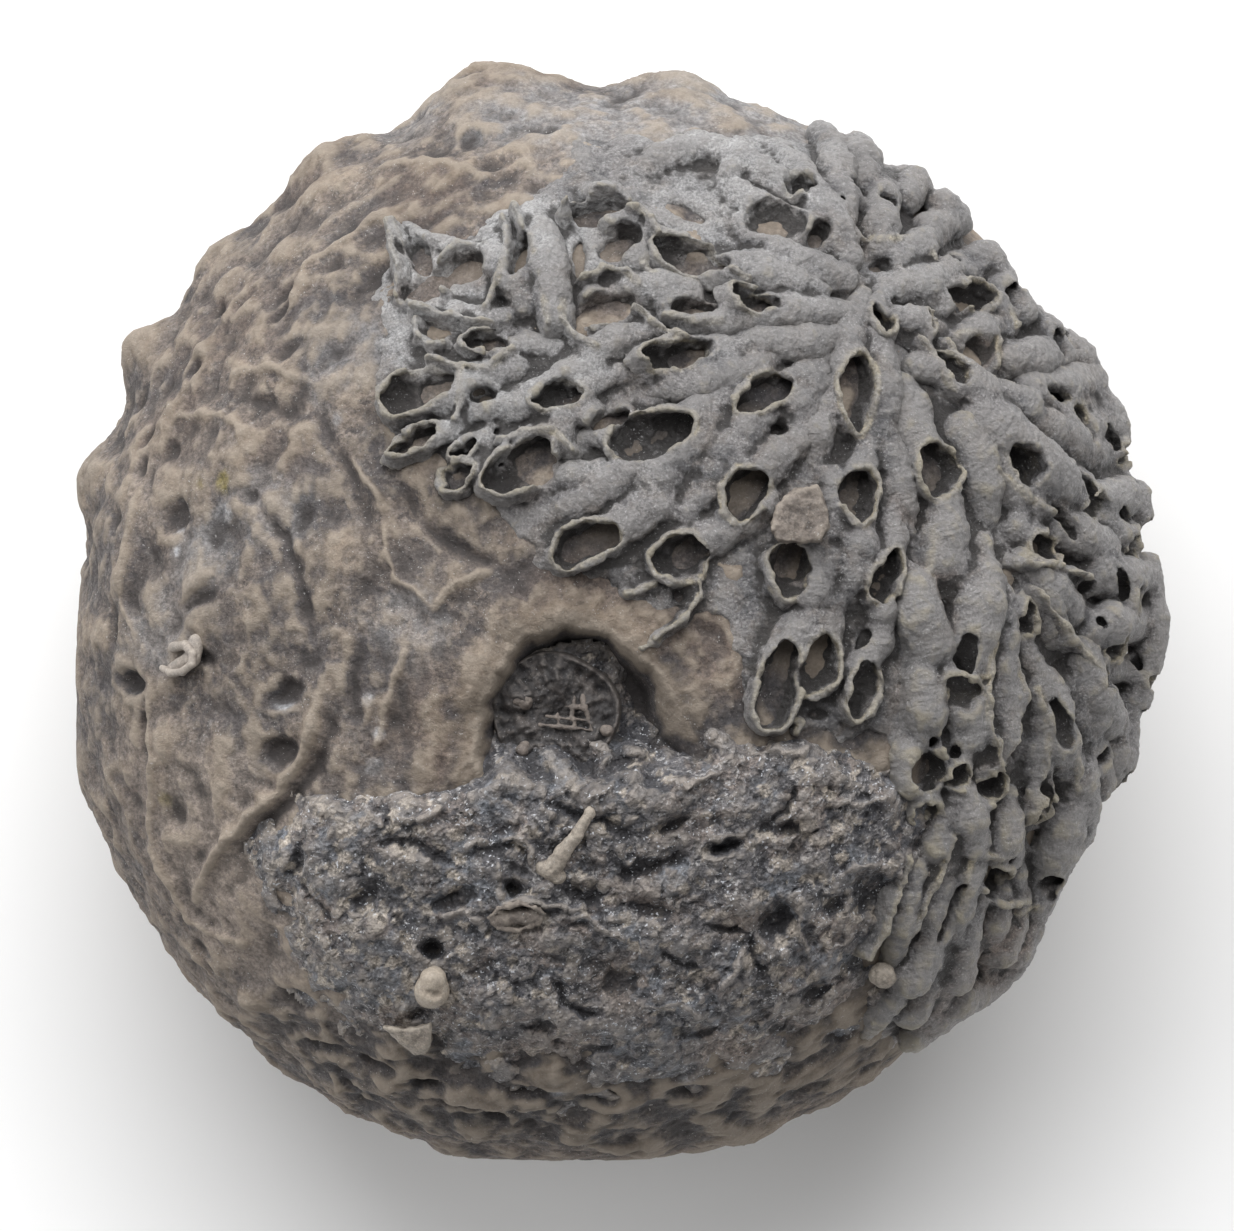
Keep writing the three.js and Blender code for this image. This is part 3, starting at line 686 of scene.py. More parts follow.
        (-13, 3.6, 1.6, 0.4), (-15.5, 1.8, 1.6, 0.5), (-17, -1, 1.8, 0.4), (-10, 9, 1.8, 0.4),
        (-8, -0.6, 1.6, 0.4),
    ],
    "tan": [
        (-1, 0.2, 3.2, 0.8), (3, -1.6, 2, 0.8), (-6.8, -4.4, 2.2, 0.75), (-7.5, 14.8, 2, 0.8),
        (-12, 15.8, 2.6, 0.6), (-15, 9.8, 2.4, 0.6), (-16.8, 6.4, 2, 0.55), (-14.8, -8.6, 2.6, 0.6),
        (-12.8, 5, 2, 0.4), (-17.6, -6, 2, 0.5), (-4.4, 19.6, 2.4, 0.7), (-13, 10.6, 2, 0.45),
    ],
}


# How much a mound on the skin lifts each point, from 0 to 1.
def dome(points, x, y, long, wide, turn, power=2.0, within=6):
    middle, along, across, _ = spotOn(x, y, 0, turn)
    away = points - middle
    flat = (away @ along / long) ** 2 + (away @ across / wide) ** 2
    reach = np.sqrt(flat + (np.linalg.norm(away, axis=1) / within) ** 4)
    return np.exp(-(reach ** power))


# The same for a line on the skin, a little crooked and thinner at its ends.
def stroke(points, width, plan):
    line = [skinPoint(x, y) for x, y in plan]
    bend = 0.16 * pushes(points, 0.8, (81, 83, None))
    away, place = lineDistance(points + bend, line)
    ends = stepUp(place, -0.02, 0.15) * stepUp(-place, -1.02, -0.85)
    return np.exp(-((away / width) ** 2)) * (0.35 + 0.65 * ends)


# How much of the cup is hidden at each point: 1 where coral or rock covers it.
def coveredShare(points):
    hidden = np.zeros(len(points))
    x, y, z = points.T
    for outline in list(coralOutlines.values()) + [rock["outline"]]:
        hidden = np.maximum(hidden, stepUp(-outlineDistance(x, y, outline), 0.3, 1.1))
    return hidden * stepUp(z, 12.8, 14.2)


# How far outside the stem pit's edge each point is.
def pitDistance(points):
    flat = points * (1, 1, 0)
    edge = outlineDistance(points[:, 0], points[:, 1], cupStone["pit"]["outline"])
    return edge + 0.3 * lumps(flat, 1.9, 61) + 0.12 * lumps(flat, 0.7, 63)


# Directions round the cup, closer together on the side that shows.
def cupDirections(look):
    turns = np.radians(np.arange(0, 360, 0.5))
    middleTurn = (look["fineFrom"] + look["fineTo"]) / 2
    halfSpan = (look["fineTo"] - look["fineFrom"]) / 2
    away = np.abs((np.degrees(turns) - middleTurn + 180) % 360 - 180)
    finer = stepUp(-away, -halfSpan - 12, -halfSpan + 6)
    weight = np.cumsum(1 + (look["fineness"] - 1) * finer)
    wanted = np.arange(look["sectors"]) / look["sectors"] * weight[-1]
    return np.interp(wanted, np.concatenate([[0], weight]), np.append(turns, 2 * math.pi))


# Share of the way out and height of each ring, from the rest face over the rim to the summit.
def cupProfile(look):
    rise = cup["top"] - cup["rimHeight"]
    bulge = 0.91
    tilt = np.linspace(0, math.pi / 2, 400)
    out = np.cos(tilt) ** bulge
    up = cup["rimHeight"] + rise * np.sin(tilt)
    walked = np.concatenate([[0], np.cumsum(np.hypot(np.diff(out) * 18.5, np.diff(up)))])
    upperTilt = np.interp(np.linspace(0, walked[-1], look["upperRings"] + 1), walked, tilt)[:-1]
    lowerTilt = np.linspace(0, math.pi / 2, look["lowerRings"] + 1)[:-1]
    lowerOut = cup["restShare"] + (1 - cup["restShare"]) * np.sin(lowerTilt)
    ringOut = np.concatenate([[0.2], lowerOut, np.cos(upperTilt) ** bulge])
    lowerUp = cup["rimHeight"] * (1 - np.cos(lowerTilt))
    ringUp = np.concatenate([[0], lowerUp, cup["rimHeight"] + rise * np.sin(upperTilt)])
    return ringOut, ringUp


# The cup's skin before any relief.
def plainCup(look):
    angles = cupDirections(look)
    ringOut, ringUp = cupProfile(look)
    radius = cupRadius(angles)[None, :] + armBases(angles[None, :], ringUp[:, None])
    summitX, summitY = cup["summit"]
    edgeX = cup["middle"][0] + radius * np.cos(angles) - summitX
    edgeY = cup["middle"][1] + radius * np.sin(angles) - summitY
    rings = np.stack([
        summitX + ringOut[:, None] * edgeX,
        summitY + ringOut[:, None] * edgeY,
        np.broadcast_to(ringUp[:, None], edgeX.shape),
    ], axis=2)
    ends = [[summitX, summitY, 0], [summitX, summitY, cup["top"]]]
    points = np.vstack([rings.reshape(-1, 3), ends])

    count, rows = look["sectors"], len(ringOut)
    index = np.arange(rows * count).reshape(rows, count)
    after = np.roll(index, -1, axis=1)
    quads = np.stack([index[:-1], after[:-1], after[1:], index[1:]], axis=2).reshape(-1, 4)
    foot, peak = rows * count, rows * count + 1
    bottom = np.stack([after[0], index[0], np.full(count, foot)], axis=1)
    lid = np.stack([index[-1], after[-1], np.full(count, peak)], axis=1)
    return points, np.vstack([quads[:, [0, 1, 2]], quads[:, [0, 2, 3]], bottom, lid])


# Outward direction of the plain skin at every point.
def skinDirections(points, probe=0.05):
    normals = np.stack([
        skinDistance(*(points + offset).T) - skinDistance(*(points - offset).T)
        for offset in probe * np.eye(3)
    ], axis=1)
    return normals / np.maximum(np.linalg.norm(normals, axis=1), 1e-9)[:, None]


# How high the stone stands over the plain skin at points that show.
def cupRelief(look, near):
    high = look["relief"]
    bumps = high["swell"] * layeredLumps(near, 3.4, 11, 2)
    bumps = bumps + high["lump"] * lumps(near, 1.5, 21) + high["grain"] * layeredLumps(near, 0.55, 31, 3)
    # Wrinkled leather between the plates: sharp valleys where two noises cross zero.
    valley = np.abs(lumps(near, 2.1, 41)) ** 0.7
    bumps += high["valley"] * (np.minimum(valley, 0.6) - 0.42)
    creases = np.abs(lumps(near, 1.0, 43)) ** 0.8
    bumps += high["crease"] * (np.minimum(creases, 0.5) - 0.33)
    crests = np.maximum(1 - 2.4 * np.abs(lumps(near, 2.7, 45)), 0) ** 1.6
    bumps += high["crest"] * crests * (0.4 + 0.6 * stepUp(lumps(near, 5.0, 47), -0.3, 0.3))
    finer = np.maximum(1 - 2.6 * np.abs(lumps(near, 1.2, 49)), 0) ** 1.5
    bumps += high["fineCrest"] * finer
    # The near side under the rock is rough and pitted.
    south = stepUp(-near[:, 1], 12.5, 15.5) * stepUp(near[:, 2], 8.0, 13.0)
    pitted = stepUp(layeredLumps(near, 2.3, 57, 3), 0.3, 0.5)
    bumps += south * (high["nearRough"] * layeredLumps(near, 2.3, 53, 4) - high["nearPit"] * pitted)
    first, second, tone = grains(near + 0.3 * layeredLumps(near, 0.8, 55, 2)[:, None], 0.62, 59)
    crusty = south * stepUp(layeredLumps(near, 2.6, 67, 2), -0.15, 0.15)
    bumps += high["nearGrain"] * crusty * ((tone - 0.45) * stepUp(second - first, 0.0, 0.22))
    # Growth wrinkles run round the shoulder on the far side.
    turn = np.degrees(np.arctan2(near[:, 1] + 0.4, near[:, 0] + 0.7))
    fromRim = np.hypot(near[:, 0] + 0.7, near[:, 1] + 0.4)
    far = stepUp(-np.abs(turn - 135), -50, -25) * stepUp(fromRim, 11.5, 13.5)
    waves = np.sin(2 * math.pi * (fromRim + 0.5 * lumps(near, 3.0, 51)) / 1.15)
    bumps += high["farWrinkle"] * far * waves
    # The listed marks, each a little crooked.
    wobble = pushes(near, 0.9, (91, 93, 95))
    for x, y, long, wide, way, height in look["bosses"]:
        bumps += height * dome(near + 0.3 * wobble, x, y, long, wide, way)
    for x, y, long, wide, way, depth in look["dents"]:
        bumps -= depth * dome(near + 0.2 * wobble, x, y, long, wide, way, 3.0)
        bumps += 0.25 * depth * dome(near, x, y, long * 1.6, wide * 1.6, way)
    for height, width, plan in look["ridges"]:
        bumps += 0.8 * height * stroke(near, 0.75 * width, plan)
    for depth, width, plan in look["grooves"]:
        bumps -= depth * stroke(near, width, plan)
    return bumps


# Sinks the stem pit, with a steep wall and a rounded lip. Its right side slopes more gently.
def sinkPit(points, pit):
    wall = pitDistance(points)
    gentle = stepUp(points[:, 0], -0.4, 2.0) * stepUp(-points[:, 1], 2.0, 4.5)
    slant = pit["slant"] + 0.35 * lumps(points, 1.3, 69) + pit["gentler"] * gentle
    deep = np.clip((0.4 - wall) / slant, 0, 1)
    deep = deep * deep * (3 - 2 * deep)
    floor = pit["floor"] + 0.1 * layeredLumps(points, 0.9, 65, 2)
    rollIn = pit["lip"] * np.exp(-(((wall - 0.2) / 0.7) ** 2))
    top = points[:, 2] > cup["rimHeight"]
    sunk = (points[:, 2] - rollIn) * (1 - deep) + floor * deep
    points[:, 2] = np.maximum(np.where(top, sunk, points[:, 2]), 0)


def buildCup(look):
    points, triangles = plainCup(look)
    shown = 1 - coveredShare(points)
    bareOnes = np.flatnonzero(shown > 0.02)
    relief = np.zeros(len(points))
    relief[bareOnes] = cupRelief(look, points[bareOnes]) * shown[bareOnes]
    relief -= 0.12 * (1 - shown)
    fade = stepUp(points[:, 2], 0.15, 2.5)
    points = points + skinDirections(points) * (relief * fade)[:, None]
    sinkPit(points, look["pit"])
    piece = meshPiece("calyx_stone", keptInside(points), triangles)
    finishPiece(piece, ["calyx"], materials["cup"], look["faces"])

    seen = pointsOf(piece.data)
    # Painted shade: the sunk walls of the stem pit darken.
    sunk = stepUp(skinHeight(seen[:, 0], seen[:, 1]) - seen[:, 2], 0.45, 1.3) * (seen[:, 2] > 20)
    # Painted shade on the cup under the coral and rock, left out where the cup shows through the coral's
    # holes.
    under = 0.85 * coveredShare(seen) * (1 - patchwork(seen, coralPaint["pink"], 121))
    # Thin rock stains the cup round the crust, mostly on the near side.
    fromRock = outlineDistance(seen[:, 0], seen[:, 1], rock["outline"])
    reach = 0.9 + 2.2 * stepUp(-seen[:, 1], 12.0, 16.0)
    stain = stepUp(reach - fromRock + 1.8 * layeredLumps(seen, 1.5, 85, 4), -0.2, 0.9) * (seen[:, 2] > 9)
    under = np.maximum(under, 0.85 * stain)
    # Dark patches together with the painted shade of the pit and under the coral, and the rock stain.
    dark = np.maximum(np.maximum(patchwork(seen, look["dark"], 71), sunk), under)
    addValues(piece.data, "dark", dark)
    for place, paint in enumerate(("tan", "grey", "light", "yellow", "white")):
        addValues(piece.data, paint, patchwork(seen, look[paint], 73 + 2 * place))


# Plan lines of the coral's main forks, all from the point where it began, and its outer hem.
hub = (8.2, 10.2)
forks = {
    "north": [(7.6, 13), (7, 21)],
    "northWest": [(3.4, 12.7), (-0.9, 15.4), (-2.2, 17.6)],
    "west": [(3, 9.7), (0.6, 10.5), (-2.1, 9.6), (-4.4, 10), (-9.6, 10.4)],
    "southWest": [(3.4, 8.4), (-1.2, 7.1), (-2, 5.2), (-3.6, 3.3), (-4.6, 2.4)],
    "south": [(7.3, 7.5), (6.9, 5), (5, 2.6), (3.7, 1.8), (3, -0.8)],
    "southEast": [(9.6, 8), (9.9, 4.5), (10.5, 1.5), (10, -1.5), (9.8, -5.9)],
    "east": [(12.5, 7.2), (13.1, 3.2), (14.2, 1.4), (15.7, -1.2), (16.8, -4.2), (18.6, -9)],
    "northEast": [(13, 8.3), (21, 9.6)],
}
hems = {
    "north": [(6.9, 18.2), (2, 17.6)],
    "northWest": [(-2.6, 15.8), (-4.2, 15), (-6.2, 13.6), (-8.6, 14), (-8.8, 11.6)],
    "west": [(-9.6, 7.4), (-8.9, 6.1), (-7.2, 5), (-5.4, 3.6)],
    "southWest": [(-2.9, 1.2), (-0.4, 0.4), (0.8, -0.7)],
    "south": [(3.9, -3.2), (5, -4.8), (6.8, -4.9), (8.6, -5)],
    "southEast": [(10.1, -9.6), (8.9, -12.8), (8.4, -15), (10.5, -18.5), (20, -14)],
    "east": [(23, -4)],
    "northEast": [(20, 19), (8, 23)],
}
branchNames = list(forks)
coralOutlines = {
    name: [hub, *forks[name], *hems[name], *forks[branchNames[(i + 1) % len(branchNames)]][::-1]]
    for i, name in enumerate(branchNames)
}

coralGrowth = {
    "voxel": 0.075,
    "film": 0.26,       # thickness of the base between the tubes
    "hemWidth": 0.9,    # over which the base thins out to nothing
    "ragged": 0.35,     # how far the hem wanders
    "dip": 0.45,        # how far it reaches under the cup's skin
    "fillet": 0.22,     # softness where tubes meet
    "rim": 0.08,        # half thickness of a mouth's rim
    "wall": 0.08,       # half thickness of a loose wall
    "grain": 0.062,     # height of the surface grain
    "spareBelow": (2.4, 2.4, 1.2),  # room round each branch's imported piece
    "spareAbove": (2.4, 2.4, 0.9),
    "lowest": 9.2,
    "fray": 13.2,       # height at which the base frays out on the cup's side
    "fanRows": 12,
    "fanStep": 2.1,     # from one row of creeping tubes to the next
    "fanGap": 1.32,     # between neighbours in a row
    "fanLength": 3.3,
    "fanRadius": (0.56, 0.82),
    "fanLift": (0.15, 0.6),
    "fanOpen": 0.45,    # share of them with an open end
    "faces": 62000,
}

# Mouths: root x, y, mouth x, y, length, width, direction, lift, lean, depth.
# Tubes without a mouth: x, y, x, y, radius, lift. Walls: lift, then a line. Hollows: x, y, length,
# width, direction, depth.
branches = {
    "north": {
        "slot": "coral_north",
        "mouths": [
            (7, 12.2, 2.3, 12.7, 3.2, 1.6, 160, 0.75, -10, 0.9),
            (8.4, 14.6, 6.3, 15.4, 1.5, 1.3, 155, 0.7, 20, 0.9),
        ],
        "tubes": [
            (7.8, 11.8, 4, 13.6, 0.75, 0.25), (7.9, 12.6, 5.6, 16.6, 0.8, 0.2),
            (7.2, 13.6, 3.2, 15.2, 0.7, 0.15), (6.4, 12.4, 3.2, 12, 0.6, 0.2),
            (7.6, 14, 7.4, 17.6, 0.8, 0.2), (5.4, 15, 2.6, 17, 0.8, 0.2), (3.6, 15.7, 4, 15.7, 0.4, 0.5),
            (5.3, 15.8, 5.6, 15.8, 0.35, 0.5), (2.8, 16.4, 0.4, 15.9, 0.7, 0.1),
        ],
        "walls": [
            (0.9, [(0.6, 14.2), (1, 13.9), (2, 13.3), (3.5, 12.5), (4.4, 11.9)]),
            (0.7, [(0.3, 13), (0.6, 12.4), (1.5, 11.6)]), (0.6, [(7.6, 13.2), (8.3, 13.5), (9, 13.3)]),
        ],
        "hollows": [
            (5.4, 14, 1.2, 0.9, 20, 0.5), (7, 13.6, 0.5, 0.35, 60, 0.9), (2.2, 14.6, 1, 0.4, 150, 0.6),
            (6.4, 16.7, 0.5, 0.3, 0, 0.5), (4.6, 16.9, 0.5, 0.3, 20, 0.5),
        ],
    },
    "northWest": {
        "slot": "coral_north_west",
        "mouths": [(7.4, 10.7, 4.6, 11.1, 2.2, 1.2, 185, 0.85, -25, 0.9)],
        "tubes": [
            (7.9, 10.4, 3.2, 10.4, 0.7, 0.3), (6.8, 11.6, 3.4, 11.9, 0.7, 0.3),
            (3.6, 10.4, 0.6, 11.2, 0.7, 0.2), (2.2, 11.2, -0.6, 11.6, 0.7, 0.2),
            (0.4, 12.6, -1, 14.6, 0.75, 0.4), (-2.4, 10.4, -3.5, 14, 0.8, 0.55),
            (-3.8, 10.8, -4.8, 13.4, 0.7, 0.3), (-4.4, 10.6, -7.8, 10.9, 0.4, 0.3),
            (-1, 10.2, -1.6, 11.6, 0.6, 0.3), (-4.4, 11.8, -6.6, 13.2, 0.4, 0.3),
            (-6.4, 13, -8.2, 14, 0.3, 0.2), (-0.2, 14.9, -1.6, 14.9, 0.45, 0.9),
        ],
        "walls": [
            (1.5, [(-2.2, 14.9), (-1.2, 15.05), (-0.4, 14.95), (0.3, 14.5)]),
            (1.3, [(0.3, 14.5), (0.9, 14.1), (1.2, 13.5)]),
            (0.9, [(-1.7, 11.9), (-0.9, 12.3), (-0.1, 12.2), (0.4, 11.7)]),
            (1, [(-8.8, 14.1), (-8.4, 12.6), (-8.3, 11.5), (-7.8, 10.9), (-6.4, 10.6), (-5, 10.3)]),
            (0.9, [(-8.6, 14), (-7.9, 13), (-7.2, 12), (-6.6, 11.5)]),
            (0.9, [(-5.2, 10.9), (-4.6, 12), (-4.3, 13.2), (-4.6, 14.2)]),
            (0.8, [(-6.9, 12.6), (-6.1, 13.2), (-5.2, 13.2)]), (0.8, [(1.4, 10.6), (2.4, 10.3), (3.4, 10.3)]),
            (1.1, [(-2.9, 10.2), (-3, 11.8), (-3.5, 13.4), (-4.2, 14.6)]),
        ],
        "hollows": [
            (-0.9, 14.35, 1.2, 0.5, 0, 1.5), (-0.3, 13.2, 0.9, 0.6, 30, 0.8),
            (-1.75, 12.8, 0.25, 0.9, 0, 1.3), (-7.3, 11.7, 1.1, 0.7, 30, 0.9),
            (-5.9, 12.4, 0.75, 0.6, 20, 1.1), (-7.6, 12.8, 0.45, 0.9, 20, 0.7),
            (2.4, 10.8, 0.9, 0.35, 5, 0.7), (-0.8, 10.8, 1.1, 0.6, 20, 0.9), (-3.9, 12.6, 0.3, 1, -15, 0.9),
        ],
    },
    "west": {
        "slot": "coral_west",
        "mouths": [
            (5, 9.4, 1.8, 9.15, 2.9, 1.4, 192, 0.9, -25, 1),
            (0.6, 8.6, -2.5, 7.65, 2.4, 1.1, 192, 0.9, -10, 1),
            (-2.2, 7.2, -3.9, 5.1, 3, 2, 222, 1, -8, 1.1),
            (-5.6, 6.9, -7.7, 6.05, 2.1, 1.1, 205, 0.9, -12, 1.1),
            (-5, 6.5, -5.9, 5.7, 1.1, 0.85, 215, 0.75, 0, 0.9),
            (-4.9, 5.8, -6.2, 4.75, 1.7, 1, 200, 0.7, 0, 0.8),
            (-4, 8.4, -7.6, 7.85, 3, 1.9, 190, 0.9, -8, 0.9),
            (-2.6, 9.3, -5.1, 9.6, 1.8, 1.1, 170, 0.8, -10, 1),
        ],
        "tubes": [
            (7.4, 9.8, 4, 9.2, 0.75, 0.3), (4.6, 8.6, 1, 7.9, 0.75, 0.25), (3.4, 9, 0, 8.5, 0.7, 0.2),
            (0.6, 9.6, -2.2, 8.9, 0.7, 0.3), (-1.2, 8.4, -4, 7.6, 0.7, 0.3), (-2, 7.9, -4.4, 6.7, 0.65, 0.3),
            (-4, 7.2, -6.2, 6.9, 0.55, 0.25), (-1.4, 7, -3.4, 6.4, 0.5, 0.4),
            (-1.6, 6.9, -1, 7.1, 0.45, 0.7),
        ],
        "walls": [
            (1.1, [(0.2, 11), (0.9, 10.3), (1.8, 9.95), (2.6, 9.5)]),
            (1, [(-2.3, 11), (-2.35, 10.4), (-1.8, 9.8), (-1.1, 9.4)]),
            (0.9, [(-7.2, 9), (-6, 8.75), (-5, 8.6), (-4.2, 9.4)]),
            (0.8, [(-7.7, 10.4), (-7.6, 9.8), (-7.2, 9.5), (-6.7, 9.7)]),
            (1, [(-1.9, 5.7), (-2.7, 6.35), (-3.6, 6.4), (-4.6, 6.1)]),
            (0.9, [(-6.1, 8.6), (-6, 7.6), (-6.3, 6.8)]),
        ],
        "hollows": [
            (-4.9, 9.55, 0.6, 0.35, 0, 1.1), (-7, 9.95, 0.35, 0.25, 0, 0.7), (-5.2, 7.6, 0.5, 0.35, 0, 0.5),
            (-3.3, 5, 0.8, 0.7, 30, 0.5),
        ],
    },
    "southWest": {
        "slot": "coral_south_west",
        "mouths": [
            (5.2, 8.9, 0.85, 6.2, 3.6, 1.9, 203, 1, 4, 1.1),
            (7.3, 9.2, 5, 7.75, 2.7, 1.5, 207, 0.95, -6, 1.2),
            (6.6, 6.9, 4.3, 4.1, 2.1, 1.9, 230, 0.95, 6, 1.3),
            (3.2, 5.6, -1.5, 2.3, 2.7, 1.8, 208, 0.85, -6, 1.2),
            (4.9, 3.8, 1.9, 1.75, 2.3, 1.9, 215, 0.8, 2, 0.9),
        ],
        "tubes": [
            (5, 7, 2.2, 4.2, 0.75, 0.3), (3.2, 6.4, -0.2, 3.9, 0.8, 0.3), (0.8, 5.2, -2.8, 3.4, 0.75, 0.25),
            (-0.8, 5, -3, 4.2, 0.5, 0.3), (5.6, 5.8, 3.4, 3, 0.7, 0.25), (4.4, 6.2, 2, 3.4, 0.7, 0.2),
            (6.9, 8.2, 5.6, 6.2, 0.75, 0.2), (1.8, 4.4, -0.4, 2.4, 0.6, 0.2), (3.6, 4.6, 1.2, 3, 0.6, 0.2),
            (0, 6.9, -1.9, 5.9, 0.45, 0.4),
        ],
        "walls": [
            (0.6, [(2.55, 0.95), (2.6, 0.3), (2, -0.4), (1.5, -0.8), (1.1, -1.2)]),
            (0.3, [(1.1, -1.2), (0.5, -1.45)]), (0.5, [(0, 0.5), (0.5, 0.6), (1, 0.75)]),
            (1, [(4, 5), (3.4, 4.3), (3.45, 3.4), (3.9, 3)]),
        ],
        "hollows": [
            (-0.6, 6.75, 0.75, 0.3, 25, 1.1), (1.9, 0.4, 0.4, 0.35, 0, 0.5), (5.5, 6.4, 0.35, 0.25, 30, 0.5),
        ],
    },
    "south": {
        "slot": "coral_south",
        "mouths": [
            (8.4, 11.2, 8.4, 7.85, 3.3, 1.55, 267, 1.05, -4, 1.2),
            (8.7, 6.6, 8.45, 4.05, 2.5, 1.5, 258, 1, -4, 1.2),
            (9.6, 4.2, 9.45, 1.05, 2.3, 1.35, 255, 0.95, -4, 1.1),
            (7, 2.4, 5.9, 1.3, 2.1, 1.9, 250, 0.75, -10, 0.7),
            (6.9, 0.4, 5.5, -2.9, 3.6, 1.8, 250, 0.95, 0, 1.2),
            (7.8, 0.8, 7, -2.1, 2.6, 1.6, 258, 0.85, -8, 1),
            (9.2, -0.2, 8.6, -3, 2.3, 1.5, 262, 0.9, 0, 0.9),
        ],
        "tubes": [
            (8, 10.4, 7.4, 6.2, 0.7, 0.3), (8.9, 9.6, 9.3, 5.2, 0.75, 0.3), (9.4, 6.2, 9.9, 2.8, 0.65, 0.2),
            (8.2, 3.2, 7.9, 0.2, 0.8, 0.3), (7.4, 4.6, 7.2, 1.6, 0.6, 0.1), (7.2, 1.6, 6.4, -0.6, 0.8, 0.3),
            (8.9, 0.8, 9.2, -1.2, 0.6, 0.25), (7.3, 7.2, 6.7, 5.2, 0.7, 0.2),
            (10.2, 1.4, 10.4, 0.6, 0.4, 0.4), (6.2, -0.6, 5.8, -1.4, 0.6, 0.3),
        ],
        "walls": [
            (0.7, [(5.2, 0.6), (5.9, 0.4), (6.5, 0.7)]), (0.5, [(6.1, -4.5), (6.3, -4.2), (6, -4)]),
        ],
        "hollows": [(7, -4, 0.6, 0.3, 0, 0.4)],
    },
    "southEast": {
        "slot": "coral_south_east",
        "plump": 1.3,
        "mouths": [
            (9.9, 7.8, 11.35, 5, 2.4, 2, 300, 1, 6, 1.4),
            (13.3, 1.4, 14.6, -0.5, 1.5, 1.1, 310, 0.8, 6, 0.9),
            (12.6, 2.2, 12.1, -3, 1.4, 1.7, 265, 0.9, 40, 1.2),
            (12.4, -3.4, 12, -6.2, 1.1, 1.2, 262, 0.75, 15, 1),
            (13.6, -4.2, 13.35, -6.5, 1.5, 1.3, 262, 0.75, 8, 0.9),
            (11.2, -5.2, 10.8, -7.5, 1.3, 1.1, 258, 0.7, 15, 1),
            (14.7, -2.6, 15.1, -7.6, 1.5, 1.5, 278, 0.8, 40, 1.2),
            (13.9, -6.8, 13.5, -9.8, 1.3, 1.4, 262, 0.6, 40, 1.2),
        ],
        "tubes": [
            (10.6, 7.2, 10, 5.4, 0.6, 0.2), (12.2, 6.2, 12.9, 3.4, 0.75, 0.2),
            (11.2, 3.6, 11.6, 0.6, 0.75, 0.2), (10.3, 0.6, 11.5, -2.2, 0.75, 0.45),
            (12.6, 1, 12.2, -2.8, 0.85, 0.45), (10.6, -2.6, 10.6, -5, 0.7, 0.3),
            (13.4, 0.6, 13.4, -4.8, 0.5, 0.3), (12.3, -2.8, 12.3, -5.4, 0.7, 0.2),
            (12.1, -6.8, 12.3, -9.4, 0.65, 0.35), (12.7, -9.2, 11.3, -12.6, 0.55, 0.35),
            (10.6, -9.6, 9.1, -13.2, 0.42, 0.4), (13.8, -7.8, 13.6, -9, 0.7, 0.3),
            (13.6, -10.4, 12.6, -13.4, 0.5, 0.25), (11.6, -12.8, 10.6, -15.2, 0.5, 0.15),
            (15.4, -3.2, 16, -6.6, 0.7, 0.3), (15.8, -7.2, 14.9, -10.6, 0.75, 0.4),
            (14.8, -11, 13.2, -14, 0.5, 0.2), (11.6, -7.6, 10.8, -9.8, 0.5, 0.3),
            (10.2, -5.4, 10.6, -7, 0.6, 0.3), (9.8, -13.4, 8.8, -15.6, 0.4, 0.2),
            (16.6, -5.6, 16.2, -8.8, 0.7, 0.35), (12.8, -14, 11.4, -16.2, 0.45, 0.1),
            (16.2, -1.8, 17.2, -4.8, 0.75, 0.4), (14.4, 1.6, 15.6, -1.4, 0.6, 0.3),
        ],
        "walls": [
            (1.2, [(13.3, -0.8), (13.1, -3), (13.1, -4), (13.4, -5)]),
            (0.8, [(14.1, -2), (14.6, -3.4)]), (0.8, [(15, -3), (15.3, -4.4), (15.2, -6)]),
            (0.9, [(13, -9), (13.5, -9.2), (14, -9)]),
            (0.8, [(14.2, -11.2), (14.8, -11), (15.4, -10.7)]),
            (0.8, [(11.2, 2.6), (10.9, 1.2), (10.3, 0.2)]),
            (0.9, [(12.6, -7), (12.6, -9), (12.1, -10.8)]),
            (1, [(10.3, -9.2), (9.7, -11), (8.9, -12.8)]),
            (1, [(11.2, -3.4), (11.8, -2.7), (13.2, -2.5), (13.4, -1.3)]),
            (1.1, [(13.5, -4.9), (13.8, -6.7), (13.3, -7.3)]),
            (1, [(11.4, -4.6), (11.5, -5.8), (12.2, -6.7)]),
            (1.1, [(15.8, -4.2), (16.4, -5.6), (16.5, -6.7)]),
            (0.9, [(11.9, -8.4), (11.2, -10.2), (10.2, -12.2)]),
            (1, [(13, -10.4), (13.8, -10.9), (14.8, -10.8)]),
        ],
        "hollows": [
            (10.8, -6, 0.8, 0.7, 0, 0.7), (11.9, -6.1, 0.4, 0.4, 0, 0.9), (11.1, -4.9, 0.2, 0.2, 0, 0.5),
            (13.3, -10.2, 0.5, 0.4, 0, 1), (14.3, -4.8, 0.3, 1, 5, 0.9), (11.6, -11, 0.25, 1.2, -25, 0.6),
            (14, 0.9, 0.4, 0.5, 30, 0.8),
        ],
    },
    "east": {
        "slot": "coral_east",
        "plump": 1.22,
        "mouths": [
            (12, 7.6, 14.35, 5.1, 1.8, 1.6, 308, 0.95, 4, 1.1),
            (14.2, 8, 16.6, 6.7, 1.7, 1.3, 330, 0.85, 4, 1), (13.2, 6.2, 17, 3.6, 1.4, 1.7, 325, 0.9, 35, 1),
            (13.9, 3.6, 15.3, 2.1, 1.6, 1.5, 305, 0.85, 0, 1.1),
            (15.4, 5.2, 18.3, 5.6, 1.2, 1.3, 5, 1.1, 20, 1.1),
            (15.4, 4.2, 18.6, 2.3, 1.3, 1.3, 335, 1.3, 20, 1.1),
            (15.4, 1.2, 18.6, 0.2, 1.3, 1.4, 345, 1.4, 20, 1.1),
            (15.8, -0.6, 18, -1.5, 1.3, 1.2, 340, 1.3, 15, 1),
